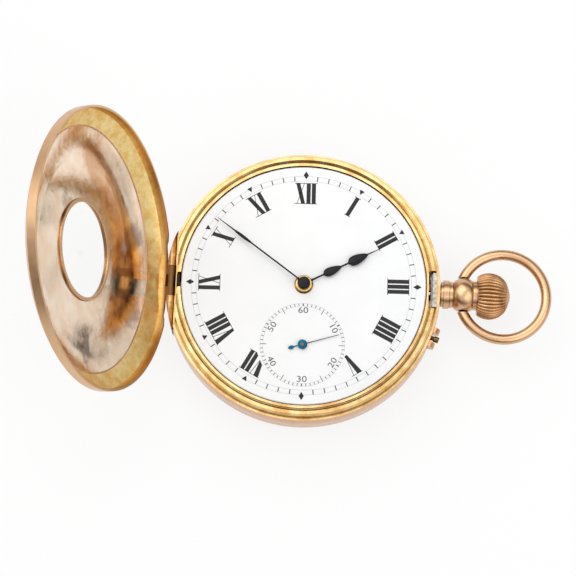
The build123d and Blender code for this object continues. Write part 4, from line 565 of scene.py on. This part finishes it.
def joined(pieces, name):
    """One piece from several."""
    unselect()
    for piece in pieces:
        piece.select_set(True)
    bpy.context.view_layer.objects.active = pieces[0]
    if len(pieces) > 1:
        bpy.ops.object.join()
    whole = bpy.context.object
    whole.name = name
    whole.data.name = name
    unselect()
    return whole


def finished(piece, finish, body):
    """Give a piece its finish and let it ride on its body."""
    piece.data.materials.clear()
    piece.data.materials.append(finish)
    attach(piece, body)
    return piece


# %% [markdown]
# A stroke is a small plate with slanted sides. It begins as a cube, and its far face
# is moved and narrowed in edit mode, which makes the leaning, tapered arms of a V or
# an X from the same start as the upright I.

# %% A stroke of paint
def turn_outward():
    """Turn every face outward in edit mode, and leave edit mode."""
    bpy.ops.mesh.select_all(action="SELECT")
    bpy.ops.mesh.normals_make_consistent(inside=False)
    bpy.ops.object.mode_set(mode="OBJECT")


def choose(piece, wanted):
    """Select the vertices that a test accepts, in edit mode."""
    bpy.ops.object.mode_set(mode="OBJECT")
    for vertex in piece.data.vertices:
        vertex.select = wanted(vertex.co)
    for edge in piece.data.edges:
        edge.select = all(piece.data.vertices[end].select for end in edge.vertices)
    for face in piece.data.polygons:
        face.select = all(piece.data.vertices[end].select for end in face.vertices)
    bpy.ops.object.mode_set(mode="EDIT")


def stroke(foot_x, head_x, foot_width, head_width, foot_y, head_y):
    """A tapered, leaning plate of paint from its foot up to its head."""
    unselect()
    bpy.ops.mesh.primitive_cube_add(size=1)
    piece = bpy.context.object
    piece.scale = (MM * foot_width, MM * (head_y - foot_y), MM * PRINT)
    piece.location = (MM * foot_x, MM * (head_y + foot_y) / 2, 0)
    bpy.ops.object.transform_apply(location=True, rotation=False, scale=True)
    middle = MM * (head_y + foot_y) / 2
    bpy.ops.object.mode_set(mode="EDIT")
    choose(piece, lambda place: place.y > middle)
    bpy.ops.transform.translate(value=(MM * (head_x - foot_x), 0, 0))
    bpy.ops.transform.resize(value=(head_width / foot_width, 1, 1),
                             center_override=(MM * head_x, 0, 0))
    bpy.ops.object.mode_set(mode="OBJECT")
    return piece


# %% [markdown]
# ## Roman numerals
# Watch numerals follow the pen: an I is one heavy stroke, a V has a heavy left arm
# and a hairline right arm, and an X a heavy stroke that falls to the right under a
# hairline. Thin serifs run along the top and bottom and tie neighbours together.
# Three letters are drawn once from a table of strokes, each with the places and
# widths of its foot and head, and every numeral is set from copies of them. On a
# watch of this kind four is written IIII, to balance the VIII across from it. Here
# IIII and V stand about two degrees off their places, as on many hand-painted dials.

# %% Three letters
HEIGHT = 4.0
HEAVY = 0.75
HAIR = 0.10
SERIF = 0.11
OVERHANG = 0.16
TOP = HEIGHT / 2
ADVANCE = {"I": 0.96, "V": 1.92, "X": 1.98}
PAST_END = {"I": OVERHANG, "V": -0.95, "X": OVERHANG}
STROKES = {
    "I": [(0, 0, HEAVY, HEAVY, -TOP, TOP)],
    "V": [(0.20, -0.50, 0.58, 0.95, -TOP, TOP), (0.26, 0.72, HAIR, HAIR, -TOP, TOP),
          (0.74, 0.74, 0.5, 0.5, TOP - SERIF, TOP)],
    "X": [(0.50, -0.50, HEAVY, HEAVY, -TOP, TOP), (-0.68, 0.68, HAIR, HAIR, -TOP, TOP),
          (0.68, 0.68, 0.5, 0.5, TOP - SERIF, TOP),
          (-0.68, -0.68, 0.5, 0.5, -TOP, SERIF - TOP)]}
letters = {name: joined([stroke(*sizes) for sizes in strokes], "letter_" + name.lower())
           for name, strokes in STROKES.items()}
print("letters drawn:", sorted(letters))


# %% Set a numeral
def numeral(text, carry, size=1.0):
    """A numeral set from the letters, with its serif lines, carried to its place."""
    width = sum(ADVANCE[letter] for letter in text)
    pieces = []
    start = -width / 2
    for letter in text:
        middle = start + ADVANCE[letter] / 2
        pieces.append(copied(letters[letter], Matrix.Translation((middle * MM, 0, 0))))
        start += ADVANCE[letter]
    foot_left = -width / 2 - PAST_END[text[0]]
    foot_right = width / 2 + PAST_END[text[-1]]
    for low, left, right in (
            (TOP - SERIF, -width / 2 - OVERHANG, width / 2 + OVERHANG),
            (-TOP, foot_left, foot_right)):
        if right > left:
            middle = (left + right) / 2
            pieces.append(stroke(middle, middle, right - left, right - left,
                                 low, low + SERIF))
    whole = joined(pieces, "numeral_" + text.lower())
    whole.data.transform(carry @ Matrix.Scale(size, 4))
    return whole


HOURS = ["XII", "I", "II", "III", "IIII", "V", "VI", "VII", "VIII", "IX", "X", "XI"]
NUMERAL_RADIUS = 17.3
hour_angles = [30 * hour for hour in range(12)]
hour_angles[4:6] = 117.8, 148.4
hour_marks = [numeral(text, clock_place(angle, NUMERAL_RADIUS * MM, DIAL_TOP))
              for text, angle in zip(HOURS, hour_angles) if text != "VI"]

# %% [markdown]
# The VI gives way to the seconds dial, and its neighbours V and VII lose the tips
# that would run into it. Bisect cuts each along a line just clear of the seconds
# track and closes the cut.

# %% Trim the numerals beside the seconds dial
seconds_centre = Matrix.Rotation(math.radians(DIAL_TURN), 4, "Z") @ Matrix.Translation(
    (0, -SIX, DIAL_TOP))
centre = seconds_centre.translation
TRIMMED = ((5, 7.9), (7, 8.2))
for hour, trim in TRIMMED:
    mark = hour_marks[hour if hour < 6 else hour - 1]
    toward = clock_place(30 * hour, NUMERAL_RADIUS * MM, DIAL_TOP).translation - centre
    toward.normalize()
    unselect()
    mark.select_set(True)
    bpy.context.view_layer.objects.active = mark
    bpy.ops.object.mode_set(mode="EDIT")
    bpy.ops.mesh.select_all(action="SELECT")
    bpy.ops.mesh.bisect(plane_co=centre + toward * trim * MM, plane_no=toward,
                        use_fill=True, clear_inner=True)
    bpy.ops.object.mode_set(mode="OBJECT")
    print("numeral", HOURS[hour], "now has", len(mark.data.polygons), "faces")

# %% Set them on the dial
dial_numerals = finished(joined(hour_marks, "dial_numerals"), black_paint, "case")
print("dial numerals:", len(hour_marks), "faces:", len(dial_numerals.data.polygons))

# %% [markdown]
# ## The minute track
# Two hairline circles with a tick at each minute run round the dial outside the
# numerals. Each quarter has a diamond and each other hour a small triangle that
# points inward, except at IIII and V, where the photo shows plain ticks. A circle
# starts as an open ring of points, which is extruded and drawn in to make a flat
# band, and a Solidify modifier then gives the paint its thickness.

# %% Flat rings
def flat_ring(outer, inner, height, x=0.0, y=0.0, segments=180):
    """A thin painted circle."""
    unselect()
    bpy.ops.mesh.primitive_circle_add(vertices=segments, radius=outer * MM,
                                      location=(x, y, height))
    piece = bpy.context.object
    bpy.ops.object.mode_set(mode="EDIT")
    bpy.ops.mesh.select_all(action="SELECT")
    bpy.ops.mesh.extrude_region_move()
    share = inner / outer
    bpy.ops.transform.resize(value=(share, share, 1), center_override=(x, y, height))
    turn_outward()
    thick = piece.modifiers.new("paint", "SOLIDIFY")
    thick.thickness = PRINT * MM
    thick.offset = 0
    bpy.ops.object.modifier_apply(modifier=thick.name)
    return settle(piece)


TRACK_OUTER = 20.6
TRACK_INNER = 19.7
HAIRLINE = 0.07
circles = [flat_ring(radius + HAIRLINE / 2, radius - HAIRLINE / 2, DIAL_TOP)
           for radius in (TRACK_OUTER, TRACK_INNER)]
finished(joined(circles, "minute_circles"), pale_paint, "case")

# %% Ticks, diamonds and triangles
tick = stroke(0, 0, 0.17, 0.17, 0, TRACK_OUTER - TRACK_INNER)
diamond = stroke(0, 0, 0.02, 0.95, -0.75, 0)
diamond = joined([diamond, stroke(0, 0, 0.95, 0.02, 0, 0.75)], "diamond")
triangle = stroke(0, 0, 0.03, 0.98, -0.44, 0.44)
PLAIN_HOURS = (20, 25)
DIAMOND_RADIUS = 20.8
TRIANGLE_RADIUS = 20.45
marks = []
for minute in range(60):
    angle = 6 * minute
    if minute % 15 == 0:
        shape, radius = diamond, DIAMOND_RADIUS
    elif minute % 5 == 0 and minute not in PLAIN_HOURS:
        shape, radius = triangle, TRIANGLE_RADIUS
    else:
        shape, radius = tick, TRACK_INNER
    marks.append(copied(shape, clock_place(angle, radius * MM, DIAL_TOP)))
finished(joined(marks, "minute_marks"), black_paint, "case")
print("minute marks:", len(marks))

# %% [markdown]
# ## The seconds dial
# The small dial for the seconds sits where the VI would be. Its track is a double
# hairline with a tick a second and a longer one each five seconds, and its figures
# are read from the centre outward along the top and inward along the bottom.
# Figures are drawn with Blender's own plain font: a text object is made a mesh and
# only then carried to its place.

# %% Seconds track
SECONDS_OUTER = 7.72
SECONDS_INNER = 7.22
HALF_LINE = 0.03
rings = [flat_ring(radius + HALF_LINE, radius - HALF_LINE, DIAL_TOP, centre.x,
                   centre.y, 120)
         for radius in (SECONDS_OUTER, SECONDS_INNER)]
finished(joined(rings, "seconds_circles"), pale_paint, "case")
seconds_tick = stroke(0, 0, 0.13, 0.13, SECONDS_INNER, SECONDS_OUTER)
five_tick = stroke(0, 0, 0.12, 0.12, SECONDS_INNER - 0.65, SECONDS_OUTER)
ten_tick = stroke(0, 0, 0.22, 0.22, SECONDS_INNER, SECONDS_OUTER)
ticks = []
for second in range(60):
    shape = seconds_tick
    if second % 10 == 0:
        shape = ten_tick
    elif second % 5 == 0:
        shape = five_tick
    turn = Matrix.Rotation(math.radians(-6 * second), 4, "Z")
    ticks.append(copied(shape, seconds_centre @ turn))
finished(joined(ticks, "seconds_track"), grey_paint, "case")


# %% Seconds figures
def figures(text, height):
    """Flat figures as a mesh plate, centred on the origin."""
    unselect()
    bpy.ops.object.text_add()
    words = bpy.context.object
    words.data.body = text
    words.data.size = height * MM
    words.data.align_x = "CENTER"
    words.data.align_y = "CENTER"
    words.data.extrude = PRINT / 2 * MM
    words.data.resolution_u = 3
    words.data.offset = 0.005 * MM
    bpy.ops.object.convert(target="MESH")
    return bpy.context.object


FIGURE_RADIUS = 6.42
FIGURE_HEIGHT = 1.6
FIGURE_WIDENING = 1.22
second_figures = []
for second in range(10, 70, 10):
    angle = 6 * second
    upright = second in (60, 10, 50)
    plate = figures(str(second), FIGURE_HEIGHT)
    plate.data.transform(Matrix.Diagonal((FIGURE_WIDENING, 1, 1, 1)))
    carry = Matrix.Rotation(math.radians(-angle), 4, "Z") @ Matrix.Translation(
        (0, FIGURE_RADIUS * MM, 0))
    if not upright:
        carry = carry @ Matrix.Rotation(math.pi, 4, "Z")
    plate.data.transform(seconds_centre @ carry)
    second_figures.append(plate)
finished(joined(second_figures, "seconds_figures"), grey_paint, "case")
print("seconds figures:", len(second_figures))

# %% [markdown]
# ## The hands
# A real hand is filed from sheet steel and then domed, so its bulbs are rounded on
# top and run out to a wire. To model one, a small ring of points is drawn along the
# hand: at each station it is extruded, moved on, and scaled to that station's width
# and thickness. The stations are read off the photograph, as distances from the
# centre and half widths in millimetres, and so are the hands' angles, in degrees
# clockwise from XII.

# %% Draw a hand along its stations
def drawn_hand(name, stations, height, dome=0.16, sides=12):
    """A domed hand, laid along +Y, from (distance, half width) stations."""
    first, first_half = stations[0]
    unselect()
    bpy.ops.mesh.primitive_circle_add(
        vertices=sides, radius=MM, fill_type="NGON", rotation=(math.pi / 2, 0, 0),
        location=(0, first * MM, height))
    piece = bpy.context.object
    bpy.ops.object.transform_apply(location=True, rotation=True, scale=True)
    bpy.ops.object.mode_set(mode="EDIT")
    bpy.ops.mesh.select_all(action="SELECT")
    thick = min(dome, first_half)
    bpy.ops.transform.resize(value=(first_half, 1, thick),
                             center_override=(0, first * MM, height))
    before = (first, first_half, thick)
    for distance, half in stations[1:]:
        thick = min(dome, max(half * 0.8, 0.03))
        bpy.ops.mesh.extrude_region_move(
            TRANSFORM_OT_translate={"value": (0, (distance - before[0]) * MM, 0)})
        bpy.ops.transform.resize(value=(half / before[1], 1, thick / before[2]),
                                 center_override=(0, distance * MM, height))
        before = (distance, half, thick)
    turn_outward()
    bpy.ops.object.shade_smooth()
    piece.name = name
    return piece


def bulb(start, length, half, wire, steps=9, pinch=1.0):
    """Stations of a pointed bulb that swells from a wire and runs back to it."""
    return [(start + length * step / steps,
             wire + (half - wire) * math.sin(math.pi * (step / steps) ** pinch) ** 0.8)
            for step in range(1, steps)]


# %% Bosses
def boss(name, radius, low, high, edge):
    """A turned boss on the dial's axis, with a rounded top edge."""
    unselect()
    bpy.ops.mesh.primitive_cylinder_add(
        vertices=64, radius=radius * MM, depth=(high - low) * MM,
        location=(0, 0, (high + low) / 2 * MM))
    piece = settle(bpy.context.object)
    bpy.ops.object.mode_set(mode="EDIT")
    choose(piece, lambda place: place.z > (high + low) / 2 * MM)
    bpy.ops.mesh.bevel(offset=edge * MM, segments=4, affect="EDGES")
    bpy.ops.object.mode_set(mode="OBJECT")
    bpy.ops.object.shade_smooth_by_angle(angle=math.radians(35))
    piece.name = name
    return piece


# %% Minute hand
MINUTE = 306.6
MINUTE_LEVEL = 11.27
WIRE = 0.15
minute_stations = ([(0.9, 0.24), (1.6, WIRE), (12.2, WIRE)]
                   + bulb(12.2, 3.9, 0.30, WIRE) + [(16.1, WIRE), (20.0, 0.05)])
minute_hand = drawn_hand("minute_hand_steel", minute_stations, MINUTE_LEVEL * MM)
minute_cap = boss("minute_cap", 1.16, 11.06, 11.62, 0.2)
minute_hand = joined([minute_hand, minute_cap], "minute_hand_steel")
minute_hand.data.transform(clock_place(MINUTE, 0))
finished(minute_hand, black_steel, "minute")
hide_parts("minute_hand")

# %% Hour hand
HOUR = 63.4
HOUR_LEVEL = 10.57
hour_stations = ([(1.2, 0.3), (2.0, 0.18), (4.0, 0.17)]
                 + bulb(4.0, 3.6, 0.82, 0.17, pinch=0.66)
                 + [(7.6, 0.17), (9.0, 0.17)]
                 + bulb(9.0, 4.0, 0.95, 0.17, pinch=0.66)
                 + [(13.0, 0.14), (15.65, 0.05)])
hour_hand = drawn_hand("hour_hand_steel", hour_stations, HOUR_LEVEL * MM)
hour_hand.data.transform(clock_place(HOUR, 0))
finished(hour_hand, black_steel, "hour")
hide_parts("hour_hand")
hour_collet = boss("hour_hand_collet", 1.5, 10.31, 10.78, 0.14)
finished(hour_collet, yellow_gold, "hour")

# %% Seconds hand
SECONDS = 73.5
SECONDS_LEVEL = 10.27
seconds_place = (Matrix.Translation(centre - Vector((0, 0, centre.z)))
                 @ clock_place(SECONDS, 0))
tail_stations = [(-2.7, 0.05), (-2.55, 0.2), (-2.3, 0.34), (-2.05, 0.36),
                 (-1.8, 0.26), (-1.55, 0.11), (-0.9, 0.10), (0.2, 0.10)]
tail = drawn_hand("seconds_tail", tail_stations, SECONDS_LEVEL * MM, dome=0.09)
seconds_boss = boss("seconds_boss", 0.88, 10.2, 10.52, 0.12)
seconds_hand = joined([tail, seconds_boss], "seconds_hand_steel")
seconds_hand.data.transform(seconds_place)
finished(seconds_hand, blue_steel, "seconds")
needle = drawn_hand("seconds_needle", [(0.8, 0.09), (6.9, 0.06)],
                    SECONDS_LEVEL * MM, dome=0.06)
needle.data.transform(seconds_place)
finished(needle, needle_steel, "seconds")
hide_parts("seconds_hand")
socket = boss("seconds_hand_socket", 0.3, 10.4, 10.56, 0.05)
socket.data.transform(seconds_place)
finished(socket, aged_brass, "seconds")
print("three hands drawn")

# %% [markdown]
# ## The ribbed crown
# A crown is gripped between finger and thumb, so its sides are milled into 36 round
# ribs that run from end to end like the lobes of an onion. Its outline follows one
# arc, a hair inside the solid it replaces. A ring of 288 points, eight to a rib, is
# extruded along that outline, and then the points between two ribs are drawn in
# towards the axis, but not those of the cup that slides over the pendant.

# %% Outline of the crown
AXIS_HEIGHT = 6.7
RIBS = 36
STEPS = 8
ARC_MIDDLE, ARC_RISE, ARC_RADIUS = 34.158, 0.600, 3.725
INSIDE = 0.02
CUP_RADIUS = 2.81
side = [31.98, 32.3, 32.8, 33.4, 34.1, 34.8, 35.5, 36.1, 36.6, 37.0, 37.3]
outline = [(33.8, 0.66), (33.8, CUP_RADIUS), (31.96, CUP_RADIUS)]
outline += [(x, ARC_RISE + math.sqrt(ARC_RADIUS ** 2 - (x - ARC_MIDDLE) ** 2) - INSIDE)
            for x in side]
outline += [(37.55, 1.95), (37.8, 1.3), (37.97, 0.65), (38.03, 0.02)]

# %% Draw the crown
bpy.ops.mesh.primitive_circle_add(
    vertices=RIBS * STEPS, radius=MM, rotation=(0, math.pi / 2, 0),
    location=(outline[0][0] * MM, 0, AXIS_HEIGHT * MM))
crown = bpy.context.object
bpy.ops.object.transform_apply(location=True, rotation=True, scale=True)
bpy.ops.object.mode_set(mode="EDIT")
bpy.ops.mesh.select_all(action="SELECT")
before = (outline[0][0], 1.0)
for station, (place_x, half) in enumerate(outline):
    if station > 0:
        bpy.ops.mesh.extrude_region_move(
            TRANSFORM_OT_translate={"value": ((place_x - before[0]) * MM, 0, 0)})
    bpy.ops.transform.resize(value=(1, half / before[1], half / before[1]),
                             center_override=(place_x * MM, 0, AXIS_HEIGHT * MM))
    before = (place_x, half)
turn_outward()


# %% Mill the ribs
CUP_END = 34
CUP_SKIN, FACE_SKIN = 2.9, 2.4
FIRST_RING = 31.97


def in_groove(place, step):
    """Whether a point lies so many steps from the middle of a rib."""
    turn = math.atan2(place.z - AXIS_HEIGHT * MM, place.y) / (2 * math.pi) % 1
    here = round(turn * RIBS * STEPS) % STEPS
    reach = math.hypot(place.y, place.z - AXIS_HEIGHT * MM)
    least = CUP_SKIN if place.x < CUP_END * MM else FACE_SKIN
    return (here in (step, STEPS - step) and reach > least * MM
            and place.x > FIRST_RING * MM)


for step, draw in ((1, 0.996), (2, 0.984), (3, 0.958), (4, 0.930)):
    choose(crown, lambda place: in_groove(place, step))
    bpy.ops.transform.resize(value=(1, draw, draw),
                             center_override=(CUP_END * MM, 0, AXIS_HEIGHT * MM))
bpy.ops.object.mode_set(mode="OBJECT")
bpy.ops.object.shade_smooth_by_angle(angle=math.radians(50))
crown.name = "ribbed_crown"
finished(crown, milled_gold_painted_shade, "crown")
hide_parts("crown")
print("crown faces:", len(crown.data.polygons))

# %% [markdown]
# ## The ring inside the lid
# Where the polished middle of the lid meets its gilded wall, a fine raised ring
# catches a line of light. It is turned on the shut lid and swung open with it.

# %% Lid ring
RING_RADIUS = 21.8
RING_HEIGHT = 11.93
RING_HALF = 0.13
unselect()
bpy.ops.mesh.primitive_torus_add(
    major_radius=RING_RADIUS * MM, minor_radius=RING_HALF * MM,
    major_segments=240, minor_segments=12, location=(0, 0, RING_HEIGHT * MM))
lid_ring = settle(bpy.context.object)
bpy.ops.object.shade_smooth()
lid_ring.data.transform(closed_to_open)
lid_ring.name = "lid_inner_ring"
finished(lid_ring, rose_gold, "front_lid")

# %% [markdown]
# ## Hours on the outside of the lid
# A half hunter has a ring of hours round its window, so that the time can be read
# with the lid shut. The photograph doesn't show the outside, so this is the usual
# pattern: small numerals in dark blue enamel between two thin circles. They are
# drawn on the shut lid and then swung open with it.

# %% Lid hour ring
LID_TOP = 13.65
LID_NUMERALS = 12.45
LID_SIZE = 0.62
LID_CIRCLES = (10.6, 14.3)
lid_marks = []
for hour, text in enumerate(HOURS):
    carry = clock_place(30 * hour + DIAL_TURN, LID_NUMERALS * MM, LID_TOP * MM)
    lid_marks.append(numeral(text, carry, LID_SIZE))
for radius in LID_CIRCLES:
    lid_marks.append(flat_ring(radius + HAIRLINE, radius - HAIRLINE, LID_TOP * MM))
lid_hours = joined(lid_marks, "lid_hour_ring")
lid_hours.data.transform(closed_to_open)
finished(lid_hours, blue_paint, "front_lid")
for letter in [*letters.values(), tick, diamond, triangle, seconds_tick, five_tick,
               ten_tick]:
    bpy.data.objects.remove(letter)
print("lid hours:", len(HOURS))

# %% [markdown]
# ## Floor, light and background
# The watch lies on a plain white surface. The world is a soft studio: bright
# overhead, with a darker band 15 to 30 degrees above the horizon that polished metal
# needs so that it looks like metal, and pale again at the horizon. What the camera
# sees of it is plain white, and the floor glows a little, so that it is nearly white
# too and the watch's own shadow on it stays soft.

# %% Floor
unselect()
bpy.ops.mesh.primitive_grid_add(x_subdivisions=8, y_subdivisions=8, size=3.0,
                                location=(0, 0, -0.02 * MM))
floor = bpy.context.object
floor.name = "studio_floor"
floor_paint, tree, shader, place = new_material("matt_white_floor")
feed(tree, shader, {
    "Base Color": colour("#F4F4F4"), "Roughness": 0.9, "Specular IOR Level": 0.1})
FLOOR_GLOW = 0.8
WHITE = (1, 1, 1, 1)
glow = add_node(tree, "ShaderNodeEmission", {"Color": WHITE, "Strength": 1.0})
path = add_node(tree, "ShaderNodeLightPath")
mirrored = add_node(tree, "ShaderNodeMath", {
    0: path.outputs["Is Glossy Ray"], 1: path.outputs["Is Transmission Ray"]},
    operation="MAXIMUM")
seen = add_node(tree, "ShaderNodeMath", {
    0: mirrored, 1: path.outputs["Is Camera Ray"]}, operation="MAXIMUM")
glow_share = add_node(tree, "ShaderNodeMath", {
    0: seen, 1: FLOOR_GLOW}, operation="MULTIPLY")
surface = add_node(tree, "ShaderNodeMixShader", {0: glow_share, 1: shader, 2: glow})
feed(tree, tree.nodes["Material Output"], {"Surface": surface})
floor.data.materials.append(floor_paint)

# %% World
world = bpy.data.worlds.new("soft_studio")
bpy.context.scene.world = world
world.use_nodes = True
tree = world.node_tree
tree.nodes.clear()
direction = add_node(tree, "ShaderNodeTexCoord").outputs["Generated"]
height = add_node(tree, "ShaderNodeSeparateXYZ", {"Vector": direction}).outputs["Z"]
room = add_node(tree, "ShaderNodeValToRGB", {"Fac": height})
stops = room.color_ramp.elements
stops[0].color = (0.95, 0.95, 0.95, 1)
for position, code in ((0.10, "#E8E6E4"), (0.26, "#7A6A5C"), (0.48, "#5E4E42"),
                       (0.66, "#E6E2DE"), (0.80, "#FFFFFF")):
    stop = stops.new(position)
    stop.color = colour(code)
ROOM_LIGHT = 0.62
studio, plain, white_room = [
    add_node(tree, "ShaderNodeBackground", {"Color": tone, "Strength": strength})
    for tone, strength in ((room, 1.0), (WHITE, ROOM_LIGHT), (WHITE, 1.0))]
path = add_node(tree, "ShaderNodeLightPath")
metal_sees = add_node(tree, "ShaderNodeMixShader", {
    0: path.outputs["Is Glossy Ray"], 1: plain, 2: studio})
clear = add_node(tree, "ShaderNodeMath", {
    0: path.outputs["Is Camera Ray"], 1: path.outputs["Is Transmission Ray"]},
    operation="MAXIMUM")
all_rays = add_node(tree, "ShaderNodeMixShader", {
    0: clear, 1: metal_sees, 2: white_room})
add_node(tree, "ShaderNodeOutputWorld", {"Surface": all_rays})


# %% Lamps
def soft_lamp(name, place, aim, size, power):
    """A square soft lamp that points at a place."""
    lamp = bpy.data.lights.new(name, "AREA")
    lamp.size = size
    lamp.energy = power
    holder = bpy.data.objects.new(name, lamp)
    bpy.context.collection.objects.link(holder)
    holder.location = place
    holder.rotation_euler = (Vector(aim) - Vector(place)).to_track_quat(
        "-Z", "Y").to_euler()
    return holder


soft_lamp("key_lamp", (-0.28, 0.30, 0.55), (0, 0, 0), 0.80, 2.6)
soft_lamp("fill_lamp", (0.40, -0.25, 0.45), (0, 0, 0), 0.65, 1.4)
print("studio lit")

# %% [markdown]
# ## The camera
# The photograph was taken from nearly overhead with a long lens. The tilt, the turn
# and the distance were worked out from the dial's marks, the rim and the crown, and
# they are written here as angles rather than as a matrix, so they can be read.

# %% Camera
TILT = math.radians(13.853)
ROLL = math.radians(2.481)
TURN = math.radians(0.637)
TARGET = Vector((-2.857, -0.819, 10.0)) * MM
DISTANCE = 449.68 * MM
FOCAL_PIXELS = 2459.05
IMAGE = 576
back = Vector((math.sin(TURN) * math.sin(TILT), -math.cos(TURN) * math.sin(TILT),
               math.cos(TILT)))
right = (-back).cross(Vector((0, 1, 0))).normalized()
up = right.cross(-back)
across = right * math.cos(ROLL) + up * math.sin(ROLL)
upward = up * math.cos(ROLL) - right * math.sin(ROLL)
camera_data = bpy.data.cameras.new("photo_camera")
camera = bpy.data.objects.new("photo_camera", camera_data)
bpy.context.collection.objects.link(camera)
pose = Matrix((across, upward, back)).transposed().to_4x4()
pose.translation = TARGET + back * DISTANCE
camera.matrix_world = pose
camera_data.sensor_width = 36.0
camera_data.lens = FOCAL_PIXELS / IMAGE * camera_data.sensor_width
camera_data.clip_start = 0.01
bpy.context.scene.camera = camera
bpy.context.scene.view_settings.view_transform = "Standard"
print("lens", round(camera_data.lens, 1), "mm")

# %% Finish
bpy.context.view_layer.update()
